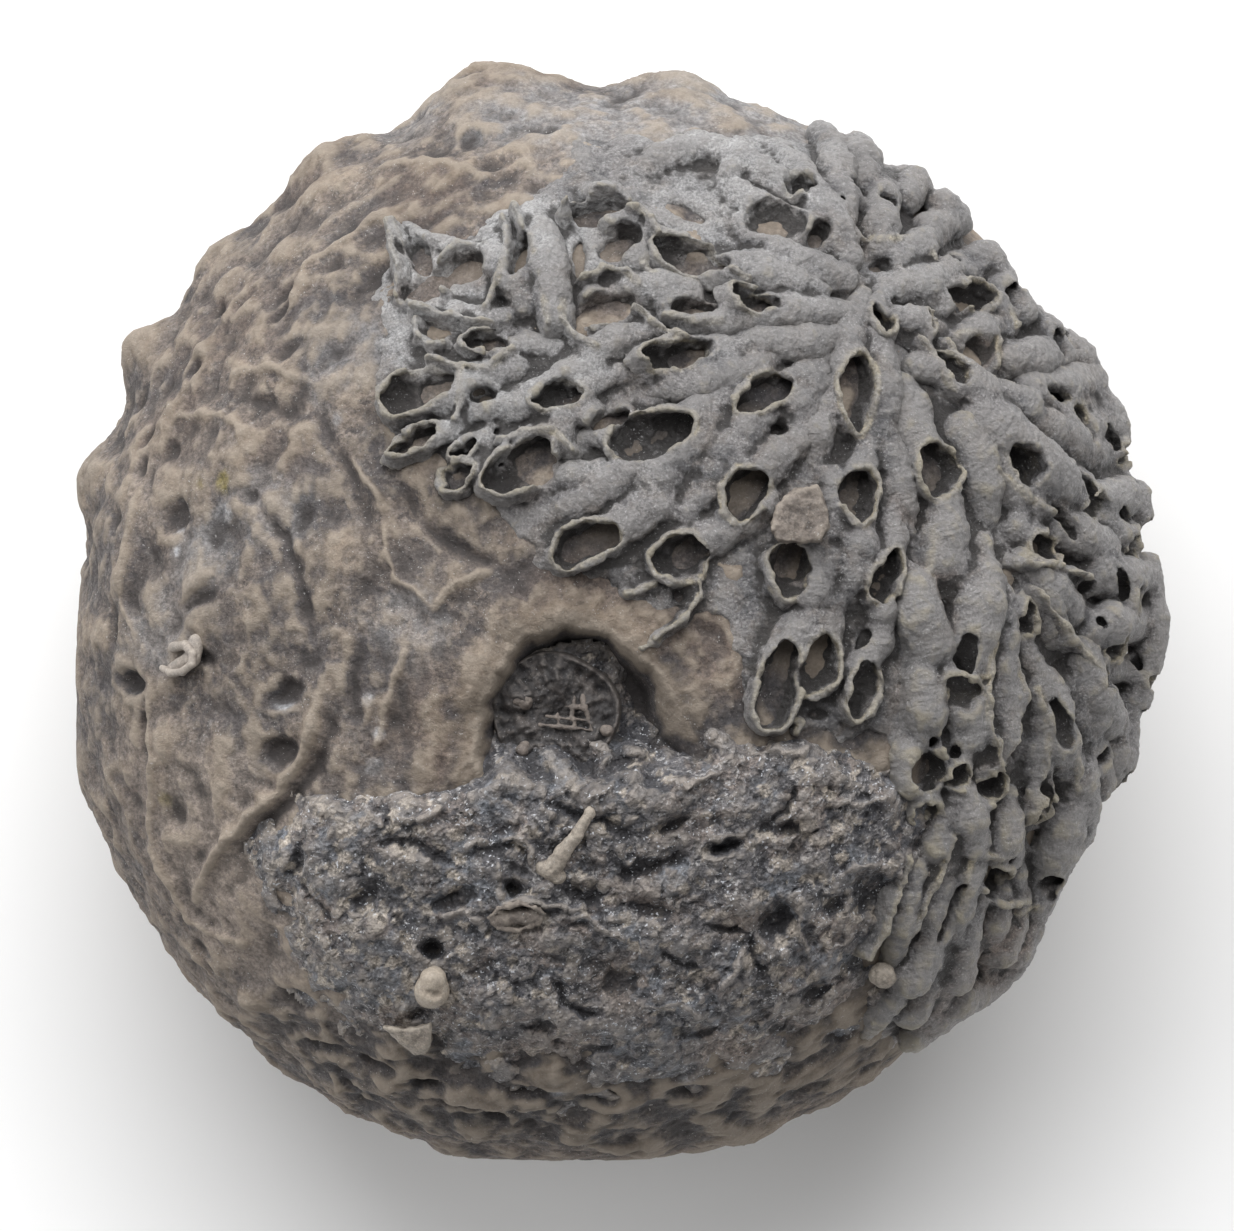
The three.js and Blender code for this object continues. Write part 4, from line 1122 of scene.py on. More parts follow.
            (16.4, -1.4, 17.3, -2.6, 1.2, 1.2, 310, 0.9, 10, 1),
            (16.6, -2.2, 19, -2.8, 1.2, 1.2, 340, 1.3, 15, 1),
        ],
        "tubes": [
            (11.2, 8.4, 14.2, 6.9, 0.75, 0.3), (12.8, 6.6, 16.8, 3.7, 0.95, 0.55),
            (13.4, 4.9, 15.2, 3.2, 0.7, 0.2), (14.4, 6.6, 17.6, 5.2, 0.7, 0.3),
            (16.6, 6.2, 18, 7.4, 0.7, 0.6), (15.6, 3, 17.6, 1.4, 0.75, 0.4), (14.6, 1, 16.6, -0.4, 0.7, 0.3),
            (16.6, -2.4, 17.9, -4.6, 0.75, 0.6), (17, 1.2, 19.3, 1.2, 0.7, 0.9),
            (16.8, -0.9, 19.3, -0.6, 0.7, 0.9), (14.6, 7.9, 17.6, 8.2, 0.8, 0.3),
            (16.8, 4, 19, 3.8, 0.7, 0.8), (17.4, -4.2, 17.9, -6.4, 0.7, 0.5), (16, 7.4, 17.8, 6.6, 0.6, 0.5),
        ],
        "walls": [
            (0.9, [(13.7, 6), (14.4, 6.2), (15.1, 5.6)]), (0.9, [(15.2, 7.9), (16.4, 7.4), (17.2, 7.3)]),
            (1.2, [(15, 0.6), (16.2, -1.2), (17.6, -2.6)]), (1.2, [(14.6, 1.6), (15.8, 1.5), (17.2, 0.9)]),
            (1, [(13.4, 5), (14.6, 3.9), (15.6, 3.4)]), (1.1, [(16.2, 4.8), (17.4, 4.2), (18.4, 4.2)]),
        ],
        "hollows": [
            (15.7, 3, 0.8, 0.3, -35, 1.2), (15.4, 7.6, 0.7, 0.25, 10, 0.9), (17, -5.4, 0.5, 0.3, 0, 1),
            (16.6, 0.6, 0.4, 0.3, 0, 0.8), (17.5, 6.9, 0.35, 0.3, 0, 1), (16.2, 1.6, 0.5, 0.25, -20, 0.9),
        ],
    },
    "northEast": {
        "slot": "coral_north_east",
        "plump": 1.08,
        "mouths": [
            (9.2, 12.4, 9.3, 10.4, 1.5, 1, 265, 0.9, -10, 1),
            (10, 9.6, 11.8, 8.7, 1.9, 1.1, 325, 0.8, 0, 0.9),
            (10.6, 10.9, 12.9, 11.4, 1.7, 1.4, 10, 0.9, -5, 1.1),
            (9.6, 10.2, 11.1, 10.4, 0.9, 0.6, 80, 0.8, 0, 0.9),
            (14, 9.2, 15.9, 9.8, 1.4, 1.2, 15, 0.8, 15, 1),
        ],
        "tubes": [
            (9.2, 10.4, 11.4, 9.8, 0.6, 0.3), (9.8, 11.6, 12.4, 12.4, 0.7, 0.3),
            (9.6, 12.6, 11.6, 13.6, 0.65, 0.35), (9, 13, 9.6, 15.6, 0.7, 0.3),
            (11, 13.6, 12.6, 15, 0.7, 0.3), (12.6, 12.6, 14.4, 13.4, 0.75, 0.4),
            (13.2, 11, 15.6, 11.4, 0.75, 0.4), (13.8, 9, 16.6, 9.4, 0.8, 0.4),
            (10.2, 14.8, 10.8, 16.8, 0.7, 0.4), (8.6, 15.4, 8.8, 17.8, 0.8, 0.3),
            (12, 9.6, 14.4, 10.2, 0.6, 0.2), (10.4, 8.6, 12.6, 7.8, 0.6, 0.25),
            (15.2, 10.6, 16.4, 10.2, 0.6, 0.6), (12.2, 15.2, 12.8, 16.2, 0.6, 0.5),
            (14.2, 12.2, 15, 12.8, 0.55, 0.6),
        ],
        "walls": [
            (0.8, [(10.7, 9.8), (11.2, 9.1), (11.7, 8)]), (0.8, [(11.7, 9.7), (12.2, 9), (12.6, 8.1)]),
            (0.8, [(13.7, 11.1), (14.2, 10.2)]), (0.7, [(12, 9.9), (13.4, 10), (13.6, 8.8)]),
            (0.8, [(9.2, 13.3), (10.6, 13.4), (11.2, 12.7)]),
        ],
        "hollows": [
            (12.8, 9.3, 0.6, 0.5, 0, 0.6), (11.7, 12.8, 0.6, 0.35, 10, 1), (9.4, 14.6, 0.4, 0.35, 0, 0.9),
            (8.4, 15.2, 0.35, 0.3, 0, 0.9), (9.3, 12.5, 0.35, 0.3, 0, 0.9), (12, 11.2, 0.5, 0.4, 0, 0.9),
            (14.8, 11.9, 0.6, 0.3, 20, 0.7), (13.4, 13.6, 0.5, 0.3, 30, 0.7),
            (11.2, 15.4, 0.5, 0.3, 60, 0.7),
        ],
    },
}

# The outline of all branches together.
nextBranch = dict(zip(branchNames, branchNames[1:] + branchNames[:1]))
wholeCoral = [point for name in branchNames for point in hems[name] + [forks[nextBranch[name]][-1]]]

# Patches of colour: x, y, radius, strength.
coralPaint = {
    # Pale patches, thickest on the upper side: partly dust, partly a painted sheen where the light falls.
    "dustAndSheen": [
        (-7, 12.8, 2.6, 0.95), (-4.4, 13.4, 2.4, 0.95), (-2, 13.4, 2.2, 0.9), (-6.6, 9.8, 2.4, 0.9),
        (-5, 7, 2.2, 0.8), (-2.6, 8.6, 2.2, 0.7), (2, 14.2, 2.6, 0.6), (-1.4, 5.4, 1.4, 0.5),
        (0.6, 4.6, 1.2, 0.4), (5, 16.8, 2.6, 0.7), (8.6, 16.8, 2.6, 0.8), (12.2, 14.6, 2.4, 0.8),
        (5, 14.6, 2.4, 0.8), (2.6, 17, 2.6, 0.8), (10, 11.6, 2, 0.5), (1, 11, 2.2, 0.5),
        (14.4, 11.2, 2.4, 0.8), (17, 7, 2.4, 0.7), (3.4, 9.6, 1.6, 0.4), (16.8, 3.4, 2, 0.5),
        (5.2, 11.6, 2, 0.5), (18.6, 0, 2, 0.6), (12.4, -4.4, 1.6, 0.4), (13, 2.6, 1.4, 0.3),
    ],
    "pink": [
        (5.4, 14, 1.3, 0.9), (2.2, 12.4, 1, 0.8), (-0.3, 13.2, 0.9, 0.8), (-0.8, 10.8, 1.1, 0.8),
        (2.5, 10.8, 0.9, 0.8), (-7.6, 7.9, 1.2, 0.6), (-3.6, 5, 1.2, 0.5), (12.8, 9.3, 0.8, 0.7),
        (5.6, 1.2, 0.8, 0.5), (-7.2, 11.8, 1.6, 0.9), (-5.8, 12.4, 1.2, 0.8), (-6.8, 9.4, 1.2, 0.6),
        (10.8, 0.6, 1.1, 0.6), (6, -1.6, 0.8, 0.3), (9.9, 3.4, 0.8, 0.5), (12.6, -1.4, 0.9, 0.4),
        (10.2, -3, 0.8, 0.4), (0.6, 14, 0.8, 0.4), (14.9, -11, 1.2, 0.7), (12.9, -12.4, 2.4, 0.75),
        (11, -14.6, 2.2, 0.6),
    ],
    "dark": [
        (11, -1.9, 1.2, 0.6), (10.6, -6, 1.6, 0.5), (9.4, 13.6, 1.6, 0.6), (8.4, 15.4, 1.4, 0.6),
        (14, -5, 1.6, 0.5), (8.6, -1, 1.6, 0.5), (7.6, 0.6, 1.4, 0.5), (9.6, 6.4, 1.6, 0.4),
        (-4.2, 8.2, 1.6, 0.3), (17.2, -5.4, 1.4, 0.6), (13.4, -9.9, 1.4, 0.6), (11, -11, 2.4, 0.35),
        (13.8, -14, 2.2, 0.3), (15.4, -8.6, 2.4, 0.25), (10.6, -8, 2, 0.3), (13.6, 13.2, 2, 0.35),
        (8, 17.4, 2, 0.5),
    ],
}


def smoothMin(first, second, soft):
    near = np.maximum(soft - np.abs(first - second), 0) / soft
    return np.minimum(first, second) - near * near * soft / 4


# A block of space sampled on even steps; shapes are joined to it or carved out near where they are.
class Block:
    def __init__(self, low, high, step, empty=False):
        self.low = np.array(low, float)
        self.step = step
        self.axes = [np.arange(start, end + step, step) for start, end in zip(low, high)]
        x, y, z = np.meshgrid(*self.axes, indexing="ij", sparse=True)
        self.values = 0 * (x + y + z) + 2 if empty else skinDistance(x, y, z)
        self.plan = np.meshgrid(self.axes[0], self.axes[1], indexing="ij")

    def part(self, low, high):
        spans = []
        for axis in range(3):
            first = int(np.searchsorted(self.axes[axis], low[axis]))
            last = int(np.searchsorted(self.axes[axis], high[axis]))
            if last - first < 2:
                return None
            spans.append(slice(first, last))
        grid = np.meshgrid(*[self.axes[axis][spans[axis]] for axis in range(3)], indexing="ij", sparse=True)
        return tuple(spans), grid

    def apply(self, low, high, shape, soft, carve=False):
        found = self.part(np.asarray(low) - soft - 0.2, np.asarray(high) + soft + 0.2)
        if found is None:
            return
        spans, grid = found
        distance = shape(*grid)
        if carve:
            self.values[spans] = -smoothMin(-self.values[spans], distance, soft)
        else:
            self.values[spans] = smoothMin(self.values[spans], distance, soft)


def addRod(block, start, end, startRadius, endRadius, soft, carve=False):
    span = end - start
    length = max(float(span @ span), 1e-6)

    def shape(x, y, z):
        px, py, pz = x - start[0], y - start[1], z - start[2]
        part = np.clip((px * span[0] + py * span[1] + pz * span[2]) / length, 0, 1)
        away = np.sqrt((px - part * span[0]) ** 2 + (py - part * span[1]) ** 2 + (pz - part * span[2]) ** 2)
        return away - (startRadius + part * (endRadius - startRadius))

    radius = max(startRadius, endRadius)
    block.apply(np.minimum(start, end) - radius, np.maximum(start, end) + radius, shape, soft, carve)


# Rods from place to place along a line of (place, radius).
def addRods(block, line, soft, carve=False):
    for (start, startRadius), (end, endRadius) in zip(line[:-1], line[1:]):
        addRod(block, start, end, startRadius, endRadius, soft, carve)


# One straight stretch of a thin upright wall; its crest and its course waver.
def addWallPart(block, start, end, phase, lift, half, soft=0.18):
    middle = (start + end) / 2
    out = skinNormal(middle)
    length = np.linalg.norm(end - start)
    along = (end - start) / length
    side = np.cross(out, along)
    side /= np.linalg.norm(side)
    up = np.cross(along, side)

    def shape(x, y, z):
        u, off, over = measuredAlong(x, y, z, middle, along, side, up)
        past = np.maximum(np.abs(u) - length / 2, 0)
        over = over + 0.08 * np.sin(3.7 * u + phase) + 0.04 * np.sin(8.6 * u)
        off = off + 0.07 * np.sin(2.9 * u + 2 * phase)
        spread = half + 0.28 * np.clip(-over, 0, 1.5)
        return np.sqrt(past**2 + off**2 + np.maximum(over, 0) ** 2) - spread

    low = np.minimum(start, end) - half - 0.1 - lift
    block.apply(low, np.maximum(start, end) + half, shape, soft)


def addWall(block, line, lift, half):
    for (ax, ay), (bx, by) in zip(line[:-1], line[1:]):
        addWallPart(block, skinPoint(ax, ay, lift), skinPoint(bx, by, lift), 3 * ax + ay, lift, half)


# Signed distance to an oval, good near its edge.
def ovalDistance(u, v, long, wide):
    first = np.sqrt((u / long) ** 2 + (v / wide) ** 2)
    second = np.sqrt((u / long**2) ** 2 + (v / wide**2) ** 2)
    return first * (first - 1) / np.maximum(second, 1e-6)


# A rim is never quite an oval: its edge wanders in and out.
def mouthWave(u, v, phase):
    turn = np.arctan2(v, u)
    slow = 0.1 * np.sin(2 * turn + phase) + 0.07 * np.sin(3 * turn + 1.7 * phase)
    return slow + 0.03 * np.sin(7 * turn + 2.3 * phase)


# Part of each rim has crumbled away.
def brokenRim(u, v, phase):
    turn = np.arctan2(v, u)
    return 0.5 * stepUp(np.sin(turn + 2.6 * phase) + 0.25 * np.sin(5 * turn + phase), 0.45, 1.0)


# Where a mouth's rim lies. Past the outline it stands off the cup's side.
def mouthSpot(mouth):
    _, _, x, y, _, _, turn, lift, lean, _ = mouth
    x, y, _ = sidePoint(x, y, lift, 0.2)
    past = math.hypot(x - cup["summit"][0], y - cup["summit"][1]) - float(reachAt(x, y))
    return spotOn(x, y, max(lift, past + 0.3), turn, lean)


def addMouth(block, mouth, look):
    x, y, long, wide = mouth[2:6]
    middle, along, across, out = mouthSpot(mouth)
    rim = look["rim"]
    half, side = max(long / 2 - rim, 0.2), max(wide / 2 - rim, 0.18)

    def shape(px, py, pz):
        u, v, w = measuredAlong(px, py, pz, middle, along, across, out)
        wave = mouthWave(u / half, v / side, x + 3 * y)
        around = ovalDistance(u, v, half, side) + wave
        w = w - 0.6 * wave + brokenRim(u, v, x + 3 * y)
        wall = np.sqrt(around**2 + np.maximum(w, 0) ** 2) - rim - 0.16 * np.clip(-w, 0, 1.0)
        # Solid below, like a boat's hull.
        sunk = np.sqrt(v**2 + (w * side / (0.75 * wide)) ** 2)
        hull = np.maximum(ovalDistance(np.abs(u), sunk, half + rim, side + rim), w)
        return np.minimum(np.maximum(wall, -w - 0.9), hull)

    reach = max(long, wide) / 2 + 0.4
    block.apply(middle - reach, middle + reach, shape, look["fillet"] * 0.7)


def carveMouth(block, mouth, look):
    x, y, long, wide = mouth[2:6]
    depth = mouth[-1]
    middle, along, across, out = mouthSpot(mouth)
    half, side = max(long / 2 - 2 * look["rim"], 0.15), max(wide / 2 - 2 * look["rim"], 0.12)

    def shape(px, py, pz):
        u, v, w = measuredAlong(px, py, pz, middle, along, across, out)
        shrink = np.sqrt(np.maximum(1 - np.clip(-w / depth, 0, 1) ** 3, 0.0))
        wave = mouthWave(u / half, v / side, x + 3 * y)
        around = ovalDistance(u, v, half, side) + (1 - shrink) * side + wave
        return np.maximum(around, -w - depth)

    reach = max(long, wide) / 2 + 0.2
    block.apply(middle - reach - depth * 0.3, middle + reach, shape, 0.1, carve=True)
    # The bore runs back into the tube.
    back = middle - out * depth * 0.5 - along * half * 0.3
    inner = middle - out * (depth * 0.75) - along * (half + 0.9)
    addRod(block, back, inner, side * 0.85, side * 0.5, 0.1, carve=True)


def carveHollow(block, hollow):
    x, y, long, wide, turn, depth = hollow
    middle, along, across, out = spotOn(x, y, coralGrowth["film"] + 0.3, turn)

    def shape(px, py, pz):
        u, v, w = measuredAlong(px, py, pz, middle, along, across, out)
        w = np.where(w > 0, w * 0.35, w)
        away = np.sqrt((u / long) ** 2 + (v / wide) ** 2 + (w / (depth + 0.3)) ** 2)
        return (away - 1) * min(long, wide)

    reach = max(long, wide, depth + 0.3) + 0.3
    block.apply(middle - reach, middle + reach, shape, 0.15, carve=True)


# How far the coral stands off the cup's outline, by direction in degrees.
coralEdge = [
    (-90, 0.1), (-70, 0.1), (-51, 0.15), (-48, 0.3), (-40, 0.9), (-34, 0.4), (-28, 0.2), (-22, 0.63),
    (-16, 1.1), (-10, 0.9), (-5, 1.5), (1, 1.5), (5, 1.4), (10, 1.2), (19, 1.3), (24, 0.95), (30, 0.95),
    (33, 0.3), (39, -0.2), (44, 0.2), (50, 0.45), (59, 0.55), (65, 0.5), (73, 0.25), (90, 0.2),
]


def standsOff(x, y):
    turn = np.degrees(np.arctan2(y - cup["middle"][1], x - cup["middle"][0]))
    return np.interp(turn, [at for at, _ in coralEdge], [out for _, out in coralEdge])


# Plan points past the outline belong to tubes that stand off the cup's side.
def sidePoint(x, y, lift, radius):
    dx, dy = x - cup["summit"][0], y - cup["summit"][1]
    reach = float(reachAt(x, y))
    past = math.hypot(dx, dy) - reach
    most = float(standsOff(x, y)) - 0.75 * radius
    if past > most:
        part = (reach + most) / math.hypot(dx, dy)
        x, y, past = cup["summit"][0] + dx * part, cup["summit"][1] + dy * part, most
    return skinPoint(x, y, max(lift, past + 0.3))


# A tube creeps over the skin from its root, swells, and sinks in again or rises to its mouth.
def addTube(block, startX, startY, endX, endY, radius, lift, look, isOpen=False):
    stretch = math.hypot(endX - startX, endY - startY)
    pieces = max(int(stretch / 0.8), 2)
    line = []
    for i in range(pieces + 1):
        part = i / pieces
        sway = 0.2 * math.sin(3.6 * part + startX * 2.3 + endY)
        x = startX + part * (endX - startX) - sway * (endY - startY) / max(stretch, 0.1)
        y = startY + part * (endY - startY) + sway * (endX - startX) / max(stretch, 0.1)
        swell = 1 + 0.05 * math.sin(5.3 * part * stretch / 2 + endX * 3)
        if isOpen:
            rise = part * part * lift
            taper = 0.75 + 0.25 * part
        else:
            rise = lift * math.sin(math.pi * min(0.15 + part * 0.85, 1)) - 0.25 * part**3
            taper = 1 - 0.3 * part**3 - 0.15 * (1 - part) ** 2
        line.append((sidePoint(x, y, 0.1 + rise, radius), radius * swell * taper))
    addRods(block, line, look["fillet"])


# Where a runner that leaves the coral's start in one direction has got to. On the near side they curl.
def runnerAt(turn, distance, pace=0.3):
    x, y = hub
    curl = -0.05 if -1.9 < turn < -0.5 else 0.0
    walked = 0.0
    while walked < distance:
        turn += curl * pace * (walked > 7)
        x += pace * math.cos(turn)
        y += pace * math.sin(turn)
        walked += pace
    return x, y, turn


# Room for a creeping tube: on the coral, off its listed parts and clear of mouths and hollows.
def hasRoom(start, tip, turn, mouths, hollows):
    if tip[1] > 14.5 or (2.0 < turn or turn < -3.0) and tip[0] < 3.5:
        return False
    if -3.0 < turn < -2.5 and tip[0] < -1.0:
        return False
    if outlineDistance(*tip, wholeCoral) > -0.7 or outlineDistance(*start, wholeCoral) > 0:
        return False
    middle = (start + tip) / 2
    for mouth in mouths:
        place, long = mouth[2:4], mouth[4]
        if np.hypot(*(middle - place)) < 0.42 * long + 0.75 or np.hypot(*(tip - place)) < 0.4 * long + 0.75:
            return False
    return not any(np.hypot(*(middle - hollow[:2])) < 0.9 for hollow in hollows)


# Between the listed tubes others fan out from the coral's start, row behind row.
def fanOfTubes(look):
    chance = random.Random(61)
    mouths = [mouth for own in branches.values() for mouth in own["mouths"]]
    hollows = [hollow for own in branches.values() for hollow in own["hollows"]]
    fan = []
    for row in range(1, look["fanRows"] + 1):
        distance = row * look["fanStep"]
        count = max(int(2 * math.pi * distance / look["fanGap"]), 5)
        for i in range(count):
            turn = ((i + 0.5 * (row % 2) + chance.uniform(-0.2, 0.2)) / count * 2 - 1) * math.pi
            x, y, way = runnerAt(turn, distance + chance.uniform(-0.5, 0.5))
            way += chance.uniform(-0.16, 0.16)
            length = look["fanLength"] * chance.uniform(0.75, 1.15)
            radius = chance.uniform(*look["fanRadius"])
            lift = chance.uniform(*look["fanLift"])
            isOpen = chance.random() < look["fanOpen"]
            tip = np.array([x + length * math.cos(way), y + length * math.sin(way)])
            # No open ends on the far right or low on the near side.
            plain = 0.35 < turn < 2.4 and distance > 4.5 or tip[1] < -12.5
            if hasRoom(np.array([x, y]), tip, turn, mouths, hollows):
                fan.append((x, y, tip[0], tip[1], radius, lift, isOpen and not plain))
    return fan


# Opens the end of a creeping tube.
def carveEnd(block, tube):
    x, y, endX, endY, radius, lift, _ = tube
    tip = sidePoint(endX, endY, 0.1 + lift, radius)
    back = sidePoint(endX + (x - endX) * 0.35, endY + (y - endY) * 0.35, 0.1 + 0.6 * lift, radius)
    along = (tip - back) / np.linalg.norm(tip - back)
    out = skinNormal(tip)
    end = tip + (radius + 0.3) * along + 0.3 * out
    addRod(block, back + 0.1 * out, end, 0.3 * radius, 0.78 * radius, 0.08, carve=True)


# Mouth rims and wall crests are worn to a pale lip, and the insides of the mouths are painted with shade.
def paleRimsAndShadedMouths(points):
    pale = np.zeros(len(points))
    inside = np.zeros(len(points))
    for own in branches.values():
        for mouth in own["mouths"]:
            x, y, long, wide = mouth[2:6]
            middle, along, across, out = mouthSpot(mouth)
            away = points - middle
            near = np.flatnonzero(np.abs(away).max(axis=1) < max(long, wide) / 2 + 0.6)
            if len(near) == 0:
                continue
            u, v, w = away[near] @ along, away[near] @ across, away[near] @ out
            half, side = max(long / 2 - 0.1, 0.2), max(wide / 2 - 0.1, 0.18)
            wave = mouthWave(u / half, v / side, x + 3 * y)
            around = ovalDistance(u, v, half, side) + wave
            w = w - 0.6 * wave + brokenRim(u, v, x + 3 * y)
            lip = stepUp(-np.hypot(around, 0.8 * (w + 0.02)), -0.2, -0.08)
            pale[near] = np.maximum(pale[near], lip)
            # Painted shade inside the mouth.
            within = stepUp(-around, -0.02, 0.12) * stepUp(-w, 0.1, 0.55) * stepUp(w, -2.0, -1.6)
            inside[near] = np.maximum(inside[near], within)
        for lift, line in own["walls"]:
            away, _ = lineDistance(points, [skinPoint(x, y, lift) for x, y in line])
            pale = np.maximum(pale, stepUp(-away, -0.22, -0.08))
    return pale, inside


# The skin of a block's solid, as points and triangles.
def surfaceOf(block):
    grid = openvdb.FloatGrid()
    grid.background = 1.0
    grid.copyFromArray(block.values.astype(np.float32))
    corners, triangles, quads = grid.convertToPolygons(0.0, 0.0)
    triangles = np.vstack([triangles.reshape(-1, 3), quads[:, [0, 1, 2]], quads[:, [0, 2, 3]]])
    return corners.astype(np.float64) * block.step + block.low, triangles


# The thin base that the tubes stand on, as a height over the cup's skin for each place in a block.
def baseFilm(block, look):
    x, y = block.plan
    ragged = look["ragged"] * np.sin(x * 2.7 + 1.3 * np.sin(y * 1.9)) * np.sin(y * 2.3 + 0.7)
    outward = np.hypot(x - cup["summit"][0], y - cup["summit"][1]) / reachAt(x, y)
    nearEdge = stepUp(outward, 0.9, 1.0)
    thickness = look["film"] * (1 - nearEdge) + np.clip(standsOff(x, y) - 0.75, 0.05, 1.2) * nearEdge
    inside = stepUp(-outlineDistance(x, y, wholeCoral) + ragged, -0.1, look["hemWidth"])
    film = (thickness + 0.2) * inside - 0.3
    # Down the side the base frays out and only some tubes reach lower.
    frayed = look["fray"] + 1.5 * np.sin(0.9 * x + 2.1 * np.sin(0.7 * y)) + 0.9 * np.sin(2.3 * y + x)
    reached = stepUp(block.axes[2][None, None, :] - frayed[:, :, None], -0.5, 1.4)
    return (film[:, :, None] + 0.8) * reached - 0.8


def growBranch(block, name, look):
    own = branches[name]
    plump = own.get("plump", 1)
    for startX, startY, endX, endY, radius, lift in own["tubes"]:
        addTube(block, startX, startY, endX, endY, radius * plump, lift, look)
    for mouth in own["mouths"]:
        middle, along, _, out = mouthSpot(mouth)
        width = mouth[5] / 2
        tail = middle - out * width * 0.9 - along * mouth[4] * 0.3
        lift = max(mouth[7] - width * 0.8, 0.1)
        addTube(block, mouth[0], mouth[1], tail[0], tail[1], width * 0.85, lift, look, True)
        addMouth(block, mouth, look)
    for lift, line in own["walls"]:
        addWall(block, line, lift, look["wall"])
    for tube in coralFan:
        startX, startY, endX, endY, radius, lift, isOpen = tube
        if outlineDistance((startX + endX) / 2, (startY + endY) / 2, coralOutlines[name]) > -0.1:
            continue
        addTube(block, startX, startY, endX, endY, radius, lift, look, True)
        if isOpen:
            carveEnd(block, tube)
    # Every branch is carved for all mouths, so that neighbours don't grow across them.
    for other in branches.values():
        for hollow in other["hollows"]:
            carveHollow(block, hollow)
    for other in branches.values():
        for mouth in other["mouths"]:
            carveMouth(block, mouth, look)


# Gives a new mesh its surface grain.
def roughen(piece, points, rough):
    moved = points + normalsOf(piece.data) * rough[:, None]
    piece.data.vertices.foreach_set("co", (moved * mm).astype(np.float32).ravel())
    dropLoose(piece)


def buildBranch(name, look):
    low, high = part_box(branches[name]["slot"])
    low = np.array(low) / mm - look["spareBelow"]
    high = np.array(high) / mm + look["spareAbove"]
    low[2] = max(low[2], look["lowest"])
    block = Block(low, high, look["voxel"])
    level = block.values.copy()
    hem = outlineDistance(*block.plan, coralOutlines[name])
    block.values = np.maximum(level - baseFilm(block, look), (hem - 0.1)[:, :, None])
    growBranch(block, name, look)
    block.values = np.maximum(block.values, -(level + look["dip"]))
    # Closes the solid at the faces of its block.
    block.values[:, :, 0] = np.maximum(block.values[:, :, 0], 0.5 * look["voxel"])
    for edge in (0, -1):
        block.values[edge, :, :] = np.maximum(block.values[edge, :, :], 0.05)
        block.values[:, edge, :] = np.maximum(block.values[:, edge, :], 0.05)
        block.values[:, :, edge] = np.maximum(block.values[:, :, edge], 0.05)

    points, triangles = surfaceOf(block)
    piece = meshPiece("tubes_" + name, keptInside(points), mainShell(points, triangles))
    grain = layeredLumps(points, 0.8, 101, 3) + layeredLumps(points, 0.3, 103, 2)
    roughen(piece, points, look["grain"] * grain)
    finishPiece(piece, [branches[name]["slot"]], materials["coral"], look["faces"])
    seen = pointsOf(piece.data)
    pale, inside = paleRimsAndShadedMouths(seen)
    addValues(piece.data, "pale", pale)
    # Pale patches: dust, and a painted sheen on the lit upper side.
    addValues(piece.data, "dustAndSheen", patchwork(seen, coralPaint["dustAndSheen"], 125))
    addValues(piece.data, "pink", patchwork(seen, coralPaint["pink"], 121))
    # Dark patches, and the painted shade inside the mouths.
    addValues(piece.data, "dark", np.maximum(patchwork(seen, coralPaint["dark"], 123), 0.8 * inside))


# Keeps the one joined body and leaves out crumbs.
def mainShell(points, triangles):
    parent = np.arange(len(points))
    pairs = np.vstack([triangles[:, :2], triangles[:, 1:]])
    while True:
        roots = np.minimum(parent[pairs[:, 0]], parent[pairs[:, 1]])
        before = parent.copy()
        np.minimum.at(parent, pairs[:, 0], roots)
        np.minimum.at(parent, pairs[:, 1], roots)
        parent = parent[parent]
        if np.array_equal(before, parent):
            break
    names, sizes = np.unique(parent[triangles[:, 0]], return_counts=True)
    return triangles[parent[triangles[:, 0]] == names[np.argmax(sizes)]]


# Leaves out points that no triangle uses.
def dropLoose(piece):
    mesh = piece.data
    used = np.zeros(len(mesh.vertices), bool)
    corners = np.zeros(len(mesh.loops), np.int32)
    mesh.loops.foreach_get("vertex_index", corners)
    used[corners] = True
    fresh = np.cumsum(used) - 1
    points = pointsOf(mesh)[used]
    triangles = fresh[corners].reshape(-1, 3)
    tidy = meshPiece(piece.name + "Tidy", points, triangles)
    piece.data = tidy.data
    bpy.data.objects.remove(tidy)


